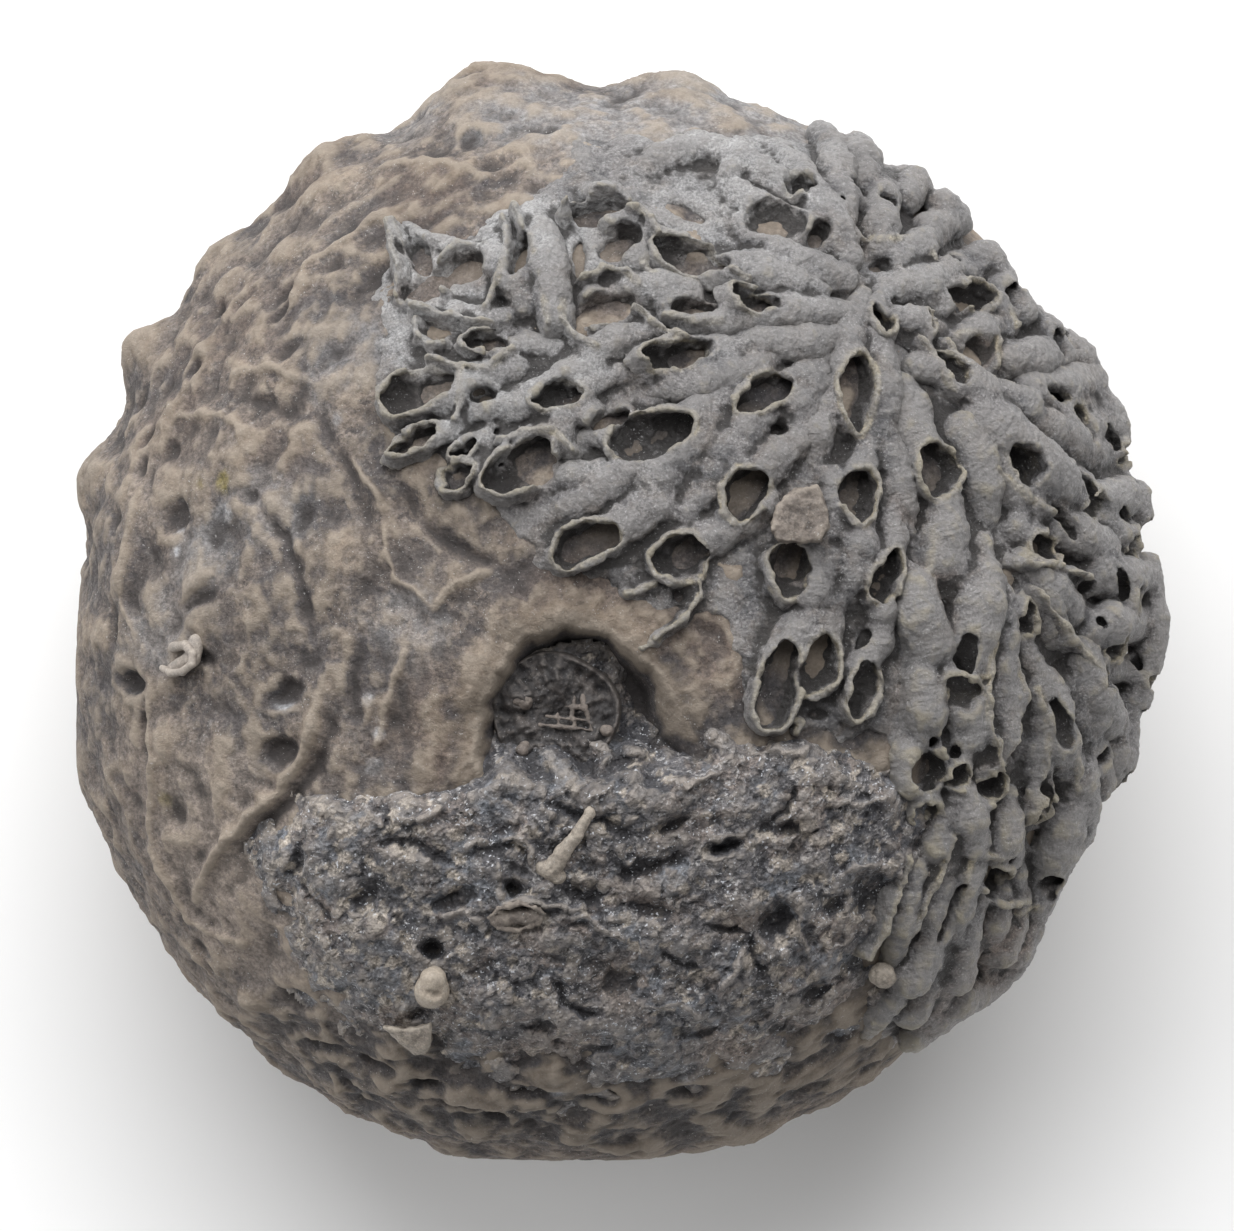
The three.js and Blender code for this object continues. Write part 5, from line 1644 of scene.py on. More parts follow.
# The rock that still sticks to the cup, from the pit down to the near side.
rock = {
    "step": 0.095,
    "spare": 3.0,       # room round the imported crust
    "thickness": 1.0,
    "skirtLift": 0.34,
    "faces": 160000,
    # broken grains: size, height, seed
    "grains": [(1.3, 0.15, 221), (0.62, 0.24, 223), (0.32, 0.2, 225)],
    "outline": [
        (-13, -8), (-10.8, -6.9), (-8.4, -6.6), (-6.4, -6.2), (-5.4, -5.4), (-4.9, -3.6), (-3.8, -1.8),
        (-1.2, -1.3), (0.9, -2.2), (2.2, -4.2), (4.6, -4.9), (6.6, -5), (9.8, -5.6), (10.9, -7.4),
        (10.6, -9.5), (9.4, -12.7), (8.4, -14.9), (2.6, -16.6), (-2.4, -16.6), (-6.8, -16.3), (-9.2, -15),
        (-11.7, -13), (-12.9, -10.3),
    ],
    # thin rock reaches this far, showing only where it rises out of the cup's hollows
    "skirt": [
        (-13.6, -8), (-10.8, -6.4), (-8.4, -6.2), (-6.4, -5.8), (-5.4, -5.4), (-4.9, -3.6), (-3.8, -1.8),
        (-1.2, -1.3), (0.9, -2.2), (2.2, -4.2), (4.6, -4.6), (6.6, -4.8), (9.8, -5.4), (11.6, -7.4),
        (12.6, -9.5), (13.2, -11.4), (12.4, -12.9), (9.8, -15), (6.4, -16.8), (2.6, -17.8), (-2.4, -18),
        (-6.8, -17), (-9.8, -15.6), (-12.2, -13.4), (-13.6, -10.6),
    ],
    "bosses": [
        (1.9, -12.2, 1.4, 1, 20, 0.45), (0.3, -5, 0.5, 0.4, 0, 0.4), (-3.85, -6.3, 0.6, 0.5, 0, 0.3),
        (5.6, -12.6, 0.35, 0.25, 0, 0.35), (4, -10.8, 1, 0.7, 30, 0.3), (3.2, -14.8, 1.2, 0.8, 0, 0.3),
        (-5.8, -12.6, 0.5, 0.35, 20, 0.35), (-9.2, -12, 1.3, 1, 0, 0.35), (6.6, -9.2, 1, 0.6, 20, 0.3),
        (0.8, -7, 1.5, 0.7, 10, 0.35), (-2.6, -12, 0.8, 0.5, 0, 0.3), (-10.8, -10, 0.7, 0.5, 20, 0.3),
        (-7.6, -9.4, 1, 0.6, 30, 0.3), (8, -8, 0.9, 0.5, 10, 0.3), (-1.2, -15.2, 1.4, 0.6, 0, 0.3),
        (7.6, -13.2, 0.8, 0.5, -40, 0.3), (-4.6, -14.4, 1.2, 0.6, 10, 0.3), (4.2, -7.4, 0.8, 0.5, 0, 0.35),
        (2, -9.9, 1.1, 0.5, 10, 0.3), (-3.4, -7.4, 0.9, 0.5, 20, 0.3), (-8.3, -14.6, 0.9, 0.35, 25, 0.3),
    ],
    "dents": [
        (-7, -12.4, 0.5, 0.4, 0, 0.8), (-7.5, -14.8, 0.5, 0.3, 20, 0.6), (-4.2, -10.2, 0.35, 0.5, 80, 0.7),
        (-0.2, -13.3, 1.5, 1.2, 0, 0.6), (3.5, -8.7, 0.7, 0.25, 10, 0.7), (5.4, -11.4, 0.8, 0.6, 20, 0.7),
        (8.7, -10.5, 0.8, 0.9, 0, 0.6), (-6.2, -10.6, 0.8, 0.4, 20, 0.5), (-11.9, -9.2, 0.6, 0.3, 60, 0.5),
        (-9.4, -10.4, 0.8, 0.35, 40, 0.4), (0.2, -5.6, 0.5, 0.2, 10, 0.5), (6.8, -14, 0.7, 0.5, 0, 0.6),
        (2.6, -15.4, 0.9, 0.3, 0, 0.5), (-1.6, -10.4, 0.8, 0.4, -10, 0.4), (7.4, -10.8, 0.5, 0.5, 0, 0.5),
        (-3.2, -15.2, 0.7, 0.35, 0, 0.5), (5.8, -8, 0.6, 0.3, 10, 0.5), (-10.6, -14, 0.8, 0.4, 30, 0.5),
        (1.6, -7.9, 0.7, 0.25, 20, 0.5), (0.7, -10.9, 0.9, 0.35, -20, 0.4),
        (-2.2, -8.6, 0.7, 0.35, 20, 0.45),
    ],
    "ridges": [
        (0.35, 0.12, [(-10, -6.9), (-9.4, -6.8), (-9, -7.2)]),
        (0.4, 0.12, [(-5.9, -8.8), (-5.5, -8.4), (-5, -8.6)]),
        (0.45, 0.13, [(-4.5, -8.4), (-3.9, -8.3), (-3.5, -8.9), (-3.4, -9.4)]),
        (0.45, 0.14, [(-4.6, -9), (-4.65, -9.9), (-4.5, -10.7)]),
        (0.5, 0.14, [(-4.6, -10.9), (-3.9, -10.6), (-3, -10.9), (-1.8, -11)]),
        (0.4, 0.12, [(-3, -11.3), (-1.4, -11.2), (-0.4, -11.9), (0, -12.3)]),
        (0.5, 0.14, [(4.3, -12.4), (3.9, -13.2), (3.3, -14)]),
        (0.5, 0.14, [(10, -9.6), (9.9, -10.4), (9.4, -11.6), (8.9, -12.7)]),
        (0.45, 0.13, [(7.8, -9.8), (8.3, -9.4), (9, -9.3), (9.6, -9.7)]),
        (0.4, 0.13, [(5, -5.2), (5.8, -5.3), (7, -5)]),
        (0.4, 0.13, [(7.3, -7), (8.4, -7.2), (9.6, -6.8)]),
        (0.35, 0.13, [(6.3, -10.3), (6.2, -11.6), (6.6, -12.8)]),
        (0.4, 0.13, [(1.2, -6.2), (2.2, -6.4), (3.4, -6)]),
        (0.4, 0.15, [(-8.6, -7.6), (-7.6, -7.8), (-6.8, -7.4)]),
        (0.35, 0.13, [(-11.8, -11.6), (-11, -12.2), (-10.2, -13.2)]),
        (0.35, 0.13, [(0.6, -14.6), (1.8, -14.4), (2.8, -14.9)]),
        (0.35, 0.14, [(4.6, -15.6), (5.4, -14.6), (5.8, -13.6)]),
        (0.3, 0.12, [(-0.5, -5.3), (-1.2, -6.1), (-2, -6.8)]),
        (0.4, 0.13, [(-6.6, -11.2), (-5.8, -11), (-5.2, -11.6)]),
    ],
    "grooves": [
        (0.5, 0.22, [(-0.5, -9.7), (0.6, -9.5), (2, -9)]),
        (0.4, 0.2, [(1.2, -12.3), (1.8, -12.8), (2.5, -13)]),
        (0.4, 0.22, [(-12.4, -9.4), (-11.4, -10.4), (-10.6, -11.4)]),
        (0.4, 0.2, [(-3.1, -7.1), (-1.4, -7.6), (-0.2, -8.2)]),
        (0.4, 0.2, [(-8.8, -8.6), (-7.6, -8.6), (-6.4, -9.2)]),
        (0.45, 0.2, [(3, -11.6), (4.4, -11.8), (4.8, -13.4)]),
        (0.4, 0.2, [(-2.6, -13.4), (-2.2, -14.4), (-1, -14.9)]),
        (0.35, 0.2, [(6.2, -6.4), (5.6, -7.4), (4.6, -8.2)]),
    ],
    "tan": [
        (4, -10.8, 1.2, 0.7), (-0.2, -13.4, 1.6, 0.6), (-5.8, -12.6, 0.7, 0.8), (-10.6, -10.4, 0.8, 0.9),
        (1.6, -8.6, 1.2, 0.4), (6, -9, 1.2, 0.4), (-8.4, -14.6, 0.8, 0.7), (3.6, -15.6, 1.4, 0.5),
        (-2.6, -16, 1.4, 0.5), (7.6, -14.2, 1, 0.5), (-3.6, -11.2, 1, 0.6), (5.6, -12.6, 0.5, 0.8),
    ],
    "dark": [
        (-1, -6.4, 2.4, 0.7), (1, -3, 1.8, 1), (-1.6, -4.2, 3.4, 1), (5.4, -11.4, 1.2, 0.8),
        (8.7, -10.5, 1.2, 0.7), (-7, -12.4, 0.9, 0.8), (3.5, -8.7, 1, 0.7), (-9.6, -9, 2.2, 0.5),
        (1, -8.8, 1.4, 0.6), (6.6, -13.6, 1.2, 0.6), (-6, -9.8, 1.6, 0.5),
    ],
}


# Broken grains, each with its own height and slant, then the listed bosses, dents, ridges and grooves.
def rockBumps(flat, look):
    bumps = 0.24 * layeredLumps(flat, 2.4, 211, 2) + 0.1 * lumps(flat, 0.9, 215)
    for size, height, seed in look["grains"]:
        shifted = flat + 0.25 * size * pushes(flat, size * 0.7, (seed + 40, seed + 41, seed + 42))
        first, second, tone = grains(shifted, size, seed)
        bumps += height * (tone - 0.45) * stepUp(second - first, 0.0, 0.22)
        bumps -= 0.2 * height * stepUp(first - second, -0.12, 0.0)
    for x, y, long, wide, turn, height in look["bosses"]:
        bumps += height * dome(flat, x, y, long, wide, turn)
    for x, y, long, wide, turn, depth in look["dents"]:
        bumps -= 1.35 * depth * dome(flat, x, y, long, wide, turn, 3.0)
        bumps += 0.3 * depth * dome(flat, x, y, long * 1.5, wide * 1.5, turn)
    for height, width, plan in look["ridges"]:
        bumps += height * stroke(flat, width, plan)
    for depth, width, plan in look["grooves"]:
        bumps -= depth * stroke(flat, width, plan)
    return bumps


# A closed solid between two heights over a plan grid, where it is kept.
def plateBetween(x, y, top, bottom, keep):
    cells = keep[:-1, :-1] & keep[1:, :-1] & keep[:-1, 1:] & keep[1:, 1:]
    index = np.arange(x.size).reshape(x.shape)
    a, b = index[:-1, :-1][cells], index[1:, :-1][cells]
    c, d = index[1:, 1:][cells], index[:-1, 1:][cells]
    upper = np.vstack([np.stack([a, b, c], axis=1), np.stack([a, c, d], axis=1)])
    lower = upper[:, ::-1] + x.size
    # Side walls under the edges that only one top triangle uses.
    edges = np.vstack([upper[:, [0, 1]], upper[:, [1, 2]], upper[:, [2, 0]]])
    known = edges[:, 0].astype(np.int64) * x.size + edges[:, 1]
    twin = edges[:, 1].astype(np.int64) * x.size + edges[:, 0]
    start, end = edges[~np.isin(known, twin)].T
    sides = np.vstack([
        np.stack([end, start, start + x.size], axis=1),
        np.stack([end, start + x.size, end + x.size], axis=1),
    ])
    points = np.vstack([
        np.stack([x.ravel(), y.ravel(), top.ravel()], axis=1),
        np.stack([x.ravel(), y.ravel(), bottom.ravel()], axis=1),
    ])
    return points, np.vstack([upper, lower, sides])


def buildRock(look):
    step = look["step"]
    low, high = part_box("matrix_crust")
    low, high = np.array(low) / mm - look["spare"], np.array(high) / mm + look["spare"]
    x, y = np.meshgrid(np.arange(low[0], high[0], step), np.arange(low[1], high[1], step), indexing="ij")
    skin = skinHeight(x, y)
    flat = np.stack([x.ravel(), y.ravel(), skin.ravel()], axis=1)
    ragged = 0.85 * layeredLumps(flat, 2.4, 201, 4).reshape(x.shape)
    body = stepUp(-outlineDistance(x, y, look["outline"]) - ragged, -0.1, 1.5)
    hem = outlineDistance(x, y, look["skirt"]) + 0.6 * ragged
    thin = stepUp(-hem, 0.0, 0.7)
    patchy = 1.6 * stepUp(layeredLumps(flat, 3.0, 271, 3).reshape(x.shape), -0.3, 0.1) - 0.6
    bumps = rockBumps(flat, look).reshape(x.shape)
    thick = look["thickness"] * body * (1 - 0.35 * stepUp(-y, 14.0, 16.5))
    top = skin + thick + bumps * (0.6 + 0.4 * body) - 0.6 * (1 - thin)
    top = top + look["skirtLift"] * patchy * (1 - body)

    # Inside the pit the rock lies lower, and rises towards the near side.
    pit = cupStone["pit"]
    wall = pitDistance(flat).reshape(x.shape)
    wander = lumps(flat, 1.1, 261).reshape(x.shape)
    nearSide = stepUp(-y + 0.7 * wander, 4.4, 7.0)
    inPit = stepUp(-wall, -0.9, 0.1) * (1 - nearSide)
    crescent = stepUp(x, -0.6, 0.6) * stepUp(y, -4.6, -3.4)
    pitTop = pit["floor"] + 0.55 - 0.9 * crescent + 0.8 * bumps
    top = top * (1 - inPit) + pitTop * inPit
    # The steep far wall of the pit is the cup's own.
    keep = (hem < 0.35) & ~((wall > 0.0) & (y > -4.0 - 0.5 * wander) & (np.abs(x + 1.4) < 5))
    bottom = np.minimum(skin - 0.7, top - 0.25)
    bottom = np.where(wall < 0.6, np.minimum(bottom, pit["floor"] - 0.7), bottom)

    points, triangles = plateBetween(x, y, top, bottom, keep)
    # Grains lean over each other a little, so that the top isn't a plain height map.
    points[: x.size] += 0.12 * pushes(points[: x.size], 0.45, (231, 233, None))
    piece = meshPiece("rock_crust", points, mainShell(points, triangles))
    dropLoose(piece)
    finishPiece(piece, ["matrix_crust"], materials["rock"], look["faces"])
    seen = pointsOf(piece.data)
    tone = grains(seen, 0.42, 245)[2]
    most = 0.9 - 0.14 * stepUp(-seen[:, 0], 5.5, 8.0) - 0.08 * stepUp(seen[:, 0], 3.5, 6.0)
    blue = stepUp(layeredLumps(seen, 2.2, 247), 0.05, 0.35) * stepUp(-tone, -0.6, -0.5)
    addValues(piece.data, "pale", stepUp(tone - most, 0.0, 0.04))
    addValues(piece.data, "blue", blue)
    addValues(piece.data, "tan", patchwork(seen, look["tan"], 241))
    addValues(piece.data, "dark", patchwork(seen, look["dark"], 243))


# Small loose pieces, each a few rods and slabs melted together. Rods are lines of
# x, y, height over the base, radius; the base is the cup's skin or a fixed height.
stemTop = 22.85
bits = {
    "lace_net": {
        "node": "lace_bryozoan", "slot": "bryozoan_stone", "finish": "lace", "grain": 0.06,
        "base": stemTop, "loose": True,
        "rods": [
            [(-3.15, -4.3, 0.1, 0.07), (-2.3, -4.36, 0.16, 0.09), (-1.25, -4.5, 0.1, 0.07)],
            [(-2.9, -3.98, 0.08, 0.06), (-2.1, -4.08, 0.14, 0.075), (-1.45, -4.12, 0.1, 0.06)],
            [(-2.2, -3.62, 0.1, 0.065), (-1.5, -3.66, 0.12, 0.07), (-1.3, -4.4, 0.1, 0.06)],
            [(-1.9, -3.3, 0.08, 0.06), (-2, -3.9, 0.12, 0.065), (-1.85, -4.4, 0.1, 0.06)],
            [(-2.5, -3.9, 0.08, 0.06), (-2.45, -4.4, 0.1, 0.06)],
            [(-1.6, -3.2, 0.08, 0.07), (-1.55, -3.7, 0.14, 0.08)],
            [(-0.76, -4.5, 0.3, 0.2), (-0.7, -4.52, 0.3, 0.2)],
            [(-3.8, -5.2, 0.2, 0.24), (-3.7, -5.1, 0.2, 0.22)],
            [(-3.95, -3.35, 0.1, 0.3), (-3.7, -3.45, 0.1, 0.32)],
        ],
    },
    "twig": {
        "node": "twig_bryozoan", "slot": "bryozoan_stone", "finish": "twig", "grain": 0.05,
        "rods": [
            [(-3, -9.45, 0.85, 0.3), (-2.5, -9.75, 0.85, 0.3)],
            [
                (-2.75, -9.55, 0.9, 0.36), (-2.3, -8.9, 1.1, 0.3), (-1.8, -8.25, 1.2, 0.24),
                (-1.5, -7.75, 1.2, 0.19), (-1.35, -7.45, 1.15, 0.22),
            ],
        ],
        "carves": [[(-2.75, -9.5, 1.3, 0.07), (-2.4, -9.0, 1.5, 0.06)]],
    },
    "ring_ossicle_stone": {
        "node": "ring_ossicle", "slot": "ossicle_stone", "finish": "cream", "grain": 0.035,
        "rods": [
            [(-7.03, -13.85, 1.1, 0.64), (-7, -13.5, 1.15, 0.5)],
            [(-7.05, -13.9, 0.6, 0.66), (-7.05, -13.9, 1, 0.6)],
        ],
        "carves": [[(-7.15, -14.02, 1.8, 0.2), (-6.85, -14.12, 1.74, 0.25), (-6.72, -13.88, 1.8, 0.14)]],
    },
    "worm_ring": {
        "node": "worm_tube", "slot": "worm_stone", "finish": "worm", "grain": 0.02,
        "rods": [
            [
                (-16.45, -1.5, 0.1, 0.2), (-16, -1.42, 0.4, 0.17), (-15.72, -1.72, 0.6, 0.15),
                (-15.75, -2.1, 0.65, 0.14), (-16.1, -2.38, 0.6, 0.14), (-16.55, -2.42, 0.55, 0.13),
                (-16.85, -2.25, 0.4, 0.12),
            ],
            [(-15.6, -1.3, 0, 0.3), (-15.75, -1.9, 0.2, 0.3), (-16.4, -2.3, 0.1, 0.28)],
        ],
    },
    "knob": {
        "node": "knob_ossicle", "slot": "ossicle_stone", "finish": "twig", "grain": 0.09,
        "rods": [
            [(9.2, -13.35, 0.65, 0.4), (9.45, -13.5, 0.6, 0.33)],
            [(9.3, -13.4, 0.1, 0.45), (9.3, -13.4, 0.6, 0.4)],
        ],
    },
    "shell_edge": {
        "node": "shell_valve", "slot": "shell_stone", "finish": "chip", "grain": 0.07,
        "rods": [
            [
                (-5, -11.25, 1.15, 0.07), (-4.6, -10.9, 1.35, 0.09), (-3.9, -10.7, 1.45, 0.1),
                (-3.3, -10.85, 1.4, 0.09), (-2.95, -11.1, 1.25, 0.07), (-3.2, -11.45, 1.2, 0.08),
                (-3.9, -11.7, 1.2, 0.09), (-4.6, -11.6, 1.15, 0.08), (-5, -11.25, 1.15, 0.07),
            ],
            [(-4.7, -11.25, 1, 0.3), (-3.3, -11.15, 1.05, 0.3)],
        ],
    },
    "chip_in_coral": {
        "node": "plate_chip_coral", "slot": "chip_stone", "finish": "chip", "grain": 0.09,
        "slab": [
            (5.2, 2.75), (5.45, 2.35), (6.3, 2.25), (6.95, 2.35), (7.3, 2.85), (7.2, 3.6), (6.85, 4.35),
            (6, 4.2), (5.4, 3.6),
        ],
        "low": 0.2, "high": 1.75, "round": 0.12,
    },
    "chip_at_rim": {
        "node": "plate_chip_rim", "slot": "ossicle_stone", "finish": "twig", "grain": 0.06,
        "slab": [
            (-8.9, -15.2), (-8, -15.3), (-7.1, -15.1), (-7.05, -15.7), (-7.3, -16.2), (-7.7, -16.25),
            (-8.2, -15.8),
        ],
        "low": -0.5, "high": 1.1, "round": 0.15,
    },
}


def liftedLines(bit, kind):
    base = bit.get("base")
    return [
        [(np.array([x, y, z + base]) if base else skinPoint(x, y, z), radius) for x, y, z, radius in line]
        for line in bit.get(kind, [])
    ]


# A flat chip: an outline between two heights, with rounded edges.
def slabShape(block, bit, plan):
    spot, _, _, out = spotOn(*plan.mean(axis=0))
    x, y, z = np.meshgrid(*block.axes, indexing="ij", sparse=True)
    level = measuredAlong(x, y, z, spot, out)[0]
    flat = outlineDistance(*block.plan, bit["slab"])[:, :, None]
    slab = np.maximum(level - bit["high"], bit["low"] - level)
    over = np.sqrt(np.maximum(flat + bit["round"], 0) ** 2 + np.maximum(slab + bit["round"], 0) ** 2)
    return over + np.minimum(np.maximum(flat, slab) + bit["round"], 0) - bit["round"]


def buildBit(name, bit, voxel=0.05, faces=9000):
    rods = liftedLines(bit, "rods")
    if rods:
        ends = np.array([place for line in rods for place, _ in line])
        block = Block(ends.min(axis=0) - 0.8, ends.max(axis=0) + 0.8, voxel, empty=True)
    else:
        plan = np.array(bit["slab"])
        heights = skinHeight(plan[:, 0], plan[:, 1])
        low = np.append(plan.min(axis=0), heights.min() + bit["low"]) - 0.5
        high = np.append(plan.max(axis=0), heights.max() + bit["high"]) + 0.5
        block = Block(low, high, voxel, empty=True)
        block.values = slabShape(block, bit, plan)
    for line in rods:
        addRods(block, line, 0.08)
    for line in liftedLines(bit, "carves"):
        addRods(block, line, 0.05, carve=True)
    points, triangles = surfaceOf(block)
    piece = meshPiece(name, points, triangles if bit.get("loose") else mainShell(points, triangles))
    roughen(piece, points, bit["grain"] * (layeredLumps(points, 0.4, 301, 3) + 0.6 * lumps(points, 0.9, 311)))
    finishPiece(piece, [bit["node"]], materials[bit["finish"]], faces)


# The last stem disc, sunk in the pit: a raised rim round a ribbed face.
stemDisc = {
    "middle": (-2.62, -3.95),
    "radius": 2.35,
    "top": stemTop,
    "foot": 21.5,
    "ribs": 22,
    "rimSide": 15,      # direction in which the rim is kept, degrees
    "sectors": 200,
    "rings": 70,
    "faces": 40000,
    "bosses": [
        (-3.85, -3.3, 0.5, 0.28), (-3.8, -4.5, 0.45, 0.3), (-3.7, -5.2, 0.3, 0.25), (-0.9, -4.5, 0.26, 0.3),
        (-2.4, -2.6, 0.5, 0.2), (-1.4, -5.2, 0.5, 0.25), (-2.9, -5.4, 0.5, 0.2),
    ],
}


def buildStemDisc(look):
    count, rings = look["sectors"], look["rings"]
    turn = np.arange(count) / count * 2 * math.pi
    out = np.linspace(0, 1, rings + 1)[1:]
    wander = 1 + 0.03 * np.sin(3 * turn + 1) + 0.02 * np.sin(5 * turn)
    x = look["middle"][0] + look["radius"] * out[:, None] * np.cos(turn) * wander
    y = look["middle"][1] + look["radius"] * out[:, None] * np.sin(turn) * wander
    far = np.broadcast_to(out[:, None], x.shape)
    flat = np.stack([x.ravel(), y.ravel(), np.full(x.size, 20.0)], axis=1)
    ribs = 0.05 * np.sin(look["ribs"] * turn)[None, :] * stepUp(far, 0.3, 0.6)
    rim = 0.28 * np.exp(-(((far - 0.93) / 0.05) ** 2)) - 0.16 * np.exp(-(((far - 0.8) / 0.09) ** 2))
    kept = stepUp(np.cos(turn - math.radians(look["rimSide"])), 0.2, 0.75)
    worn = 0.6 + 0.4 * stepUp(lumps(flat, 0.8, 421).reshape(x.shape), -0.25, 0.1)
    rim = rim * kept[None, :] * worn
    bowl = -0.25 * np.exp(-((far / 0.25) ** 2))
    rough = (0.2 * layeredLumps(flat, 0.9, 401, 3) + 0.12 * layeredLumps(flat, 0.3, 411, 2)).reshape(x.shape)
    z = look["top"] + ribs + rim + bowl + rough - 0.5 * stepUp(far, 0.96, 1.0)
    for bx, by, radius, height in look["bosses"]:
        z = z + height * np.exp(-((np.hypot(x - bx, y - by) / radius) ** 3))
    points = np.vstack([
        np.stack([x.ravel(), y.ravel(), z.ravel()], axis=1),
        np.stack([x[-1], y[-1], np.full(count, look["foot"])], axis=1),
        [[*look["middle"], look["top"] - 0.2], [*look["middle"], look["foot"]]],
    ])
    index = np.arange((rings + 1) * count).reshape(rings + 1, count)
    after = np.roll(index, -1, axis=1)
    quads = np.stack([index[:-1], index[1:], after[1:], after[:-1]], axis=2).reshape(-1, 4)
    peak, foot = len(points) - 2, len(points) - 1
    top = np.stack([np.full(count, peak), index[0], after[0]], axis=1)
    bottom = np.stack([np.full(count, foot), after[-1], index[-1]], axis=1)
    piece = meshPiece("stem_disc", points, np.vstack([quads[:, [0, 1, 2]], quads[:, [0, 2, 3]], top, bottom]))
    finishPiece(piece, ["stem_columnal"], materials["stem"], look["faces"])


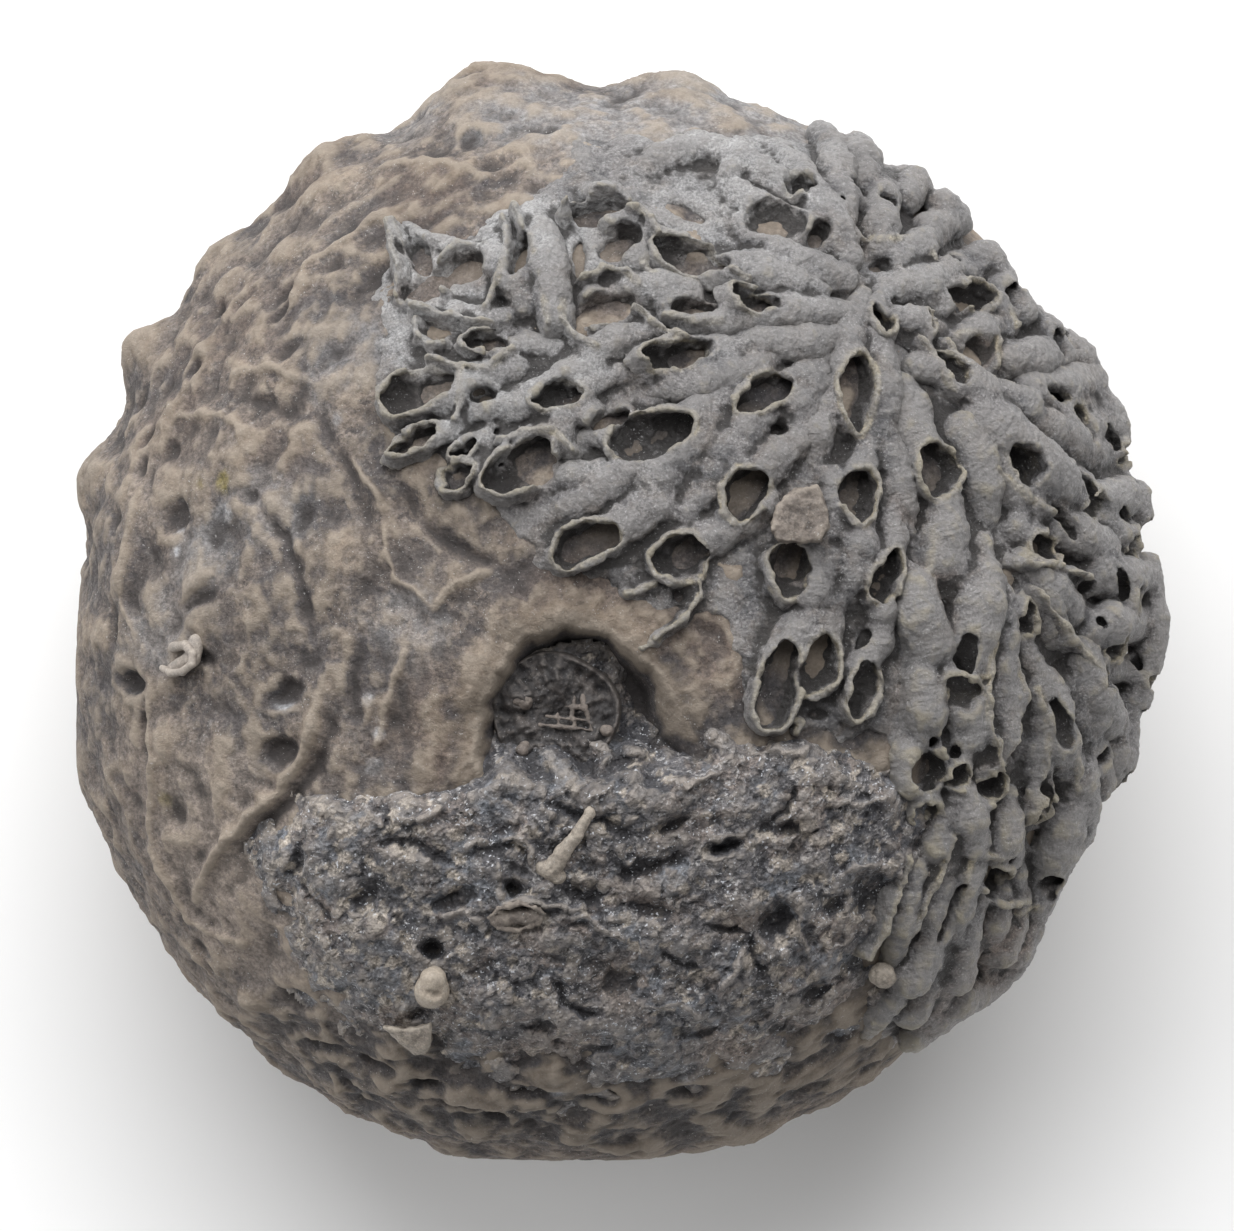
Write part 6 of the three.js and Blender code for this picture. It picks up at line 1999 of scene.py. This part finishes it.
materials = {
    "cup": stoneMaterial("cupStone", {
        "main": (0.126, 0.105, 0.093),
        "layers": [
            # size, detail, from, to, colour, strength
            (4.6, 10, 0.485, 0.545, (0.07, 0.064, 0.066), 0.75),
            (2.2, 9, 0.5, 0.62, (0.262, 0.212, 0.172), 0.6),
            (1.1, 9, 0.53, 0.585, (0.044, 0.04, 0.043), 0.65),
            (0.4, 6, 0.52, 0.68, (0.3, 0.28, 0.262), 0.35),
        ],
        "paints": {
            "tan": (0.106, 0.079, 0.065), "dark": (0.04, 0.039, 0.043), "grey": (0.275, 0.272, 0.275),
            "light": (0.255, 0.215, 0.185), "yellow": (0.19, 0.155, 0.045), "white": (0.45, 0.46, 0.48),
        },
        "gritSize": 0.16, "grit": 0.34, "shadeAndDirt": (0.04, 0.035, 0.034), "hollowDepth": 0.85,
        "pale": (0.3, 0.24, 0.175),
        "edgeFrom": (0.15, 0.8), "edgeWear": 0.45, "worn": (0.33, 0.285, 0.235),
        "speckFrom": 0.7, "speck": 0.5, "glint": (0.5, 0.49, 0.48),
        "roughness": (0.62, 0.85), "sheen": 0.35, "bump": 0.9, "bumpHeight": 0.17, "bumpSize": 0.3,
    }),
    "coral": stoneMaterial("coralStone", {
        "main": (0.188, 0.179, 0.179),
        "layers": [
            (3, 8, 0.46, 0.56, (0.084, 0.085, 0.092), 0.7),
            (1.3, 8, 0.5, 0.6, (0.19, 0.16, 0.136), 0.5),
            (0.5, 6, 0.52, 0.68, (0.056, 0.055, 0.056), 0.5),
            (0.2, 4, 0.53, 0.66, (0.32, 0.312, 0.306), 0.5),
        ],
        "paints": {
            "pink": (0.235, 0.185, 0.155), "dark": (0.05, 0.048, 0.05), "pale": (0.355, 0.31, 0.22),
            "dustAndSheen": (0.4, 0.398, 0.4),
        },
        # On the coral the pale high ground is mostly a painted highlight, and the dark hollows are mostly
        # painted shade.
        "grit": 0.4, "shadeAndDirt": (0.03, 0.027, 0.026), "hollowDepth": 0.9,
        "pale": (0.272, 0.261, 0.255), "crest": 0.6, "crestTo": 0.5, "hollowTo": -0.34,
        "rings": 0.3, "ringShare": 0.045,
        "edgeFrom": (0.6, 1.5), "edgeWear": 0.7, "worn": (0.335, 0.298, 0.222),
        "speckSize": 0.08, "speckFrom": 0.68, "speck": 0.5, "glint": (0.55, 0.55, 0.55),
        "roughness": (0.32, 0.6), "sheen": 0.6, "bump": 1.0, "bumpHeight": 0.24, "bumpSize": 0.22,
    }),
    "rock": stoneMaterial("rockStone", {
        "main": (0.094, 0.09, 0.094),
        "layers": [
            (2.2, 10, 0.5, 0.57, (0.185, 0.15, 0.128), 0.65),
            (1, 9, 0.48, 0.6, (0.03, 0.032, 0.04), 0.75),
            (0.4, 8, 0.54, 0.6, (0.33, 0.318, 0.312), 0.7),
            (0.25, 6, 0.5, 0.62, (0.04, 0.04, 0.046), 0.55),
        ],
        "paints": {
            "tan": (0.235, 0.188, 0.155), "dark": (0.026, 0.027, 0.032), "blue": (0.118, 0.126, 0.142),
            "pale": (0.33, 0.29, 0.245),
        },
        "grit": 0.4, "shadeAndDirt": (0.022, 0.021, 0.024), "hollowDepth": 0.85,
        "pale": (0.2, 0.18, 0.165),
        "edgeFrom": (0.3, 1.4), "edgeWear": 0.6, "worn": (0.3, 0.268, 0.24),
        "speckSize": 0.13, "speckFrom": 0.665, "speck": 0.8, "glint": (0.62, 0.64, 0.68),
        "roughness": (0.45, 0.8), "sheen": 0.5, "bump": 1.0, "bumpHeight": 0.22,
        "facets": 0.5, "facetSize": 0.24,
    }),
    "lace": stoneMaterial("laceStone", {
        "main": (0.112, 0.094, 0.083),
        "layers": [
            (0.8, 7, 0.48, 0.62, (0.07, 0.062, 0.06), 0.7),
            (0.3, 5, 0.52, 0.64, (0.2, 0.17, 0.148), 0.5),
        ],
        "shadeAndDirt": (0.03, 0.027, 0.026),
        "pale": (0.2, 0.172, 0.15), "crest": 0.3,
        "edgeWear": 0.3, "worn": (0.24, 0.205, 0.178),
        "speckFrom": 0.7, "glint": (0.4, 0.4, 0.4),
        "roughness": (0.6, 0.85), "sheen": 0.35,
    }),
    "stem": stoneMaterial("stemStone", {
        "main": (0.04, 0.037, 0.037),
        "layers": [
            (1.2, 8, 0.48, 0.62, (0.078, 0.066, 0.06), 0.6),
            (0.5, 7, 0.5, 0.64, (0.02, 0.02, 0.023), 0.6),
            (0.22, 5, 0.54, 0.66, (0.2, 0.18, 0.165), 0.4),
        ],
        "shadeAndDirt": (0.016, 0.015, 0.016),
        "pale": (0.085, 0.076, 0.072),
        "worn": (0.15, 0.13, 0.115),
        "speckFrom": 0.7, "speck": 0.5, "glint": (0.4, 0.4, 0.42),
        "bumpHeight": 0.07, "bumpSize": 0.2,
    }),
    "cream": stoneMaterial("creamStone", {
        "main": (0.29, 0.245, 0.198),
        "layers": [
            (1, 7, 0.48, 0.64, (0.24, 0.205, 0.17), 0.6),
            (0.4, 6, 0.52, 0.66, (0.42, 0.385, 0.33), 0.5),
            (0.2, 5, 0.55, 0.66, (0.12, 0.105, 0.095), 0.5),
        ],
        "grit": 0.22, "shadeAndDirt": (0.08, 0.068, 0.058),
        "pale": (0.42, 0.38, 0.32), "crest": 0.3,
        "worn": (0.48, 0.44, 0.38),
        "glint": (0.6, 0.6, 0.58),
        "roughness": (0.5, 0.75), "bump": 0.6, "bumpHeight": 0.05,
    }),
    "twig": stoneMaterial("twigStone", {
        "main": (0.245, 0.212, 0.178),
        "layers": [
            (0.9, 8, 0.48, 0.62, (0.15, 0.13, 0.112), 0.7),
            (0.35, 6, 0.52, 0.64, (0.36, 0.325, 0.28), 0.5),
            (0.18, 5, 0.54, 0.65, (0.075, 0.066, 0.062), 0.5),
        ],
        "grit": 0.3, "shadeAndDirt": (0.055, 0.047, 0.042),
        "pale": (0.38, 0.34, 0.285),
        "worn": (0.4, 0.36, 0.305),
    }),
    "chip": stoneMaterial("chipStone", {
        "main": (0.138, 0.116, 0.1),
        "layers": [
            (1, 8, 0.48, 0.62, (0.088, 0.076, 0.069), 0.7),
            (0.4, 7, 0.52, 0.64, (0.215, 0.185, 0.155), 0.5),
            (0.2, 5, 0.53, 0.64, (0.05, 0.044, 0.042), 0.6),
        ],
        "shadeAndDirt": (0.034, 0.03, 0.028),
        "pale": (0.27, 0.232, 0.195), "crest": 0.35,
        "edgeWear": 0.5, "worn": (0.34, 0.3, 0.25),
        "speckFrom": 0.7, "speck": 0.5, "glint": (0.5, 0.5, 0.48),
        "bumpHeight": 0.07, "bumpSize": 0.2,
    }),
    "worm": stoneMaterial("wormStone", {
        "main": (0.23, 0.2, 0.175),
        "layers": [
            (0.8, 7, 0.48, 0.64, (0.12, 0.112, 0.11), 0.7),
            (0.25, 5, 0.53, 0.65, (0.35, 0.32, 0.28), 0.5),
        ],
        "grit": 0.25, "shadeAndDirt": (0.06, 0.052, 0.048),
        "pale": (0.34, 0.3, 0.26),
        "edgeFrom": (0.1, 0.8), "edgeWear": 0.6, "worn": (0.42, 0.375, 0.32),
        "roughness": (0.5, 0.75), "bump": 0.6, "bumpHeight": 0.05,
    }),
}
print("stone finishes ready")

coralFan = fanOfTubes(coralGrowth)
print(len(coralFan), "creeping tubes between the others")
buildCup(cupStone)
for branchName in branchNames:
    buildBranch(branchName, coralGrowth)
buildRock(rock)
buildStemDisc(stemDisc)
for bitName, bit in bits.items():
    buildBit(bitName, bit)
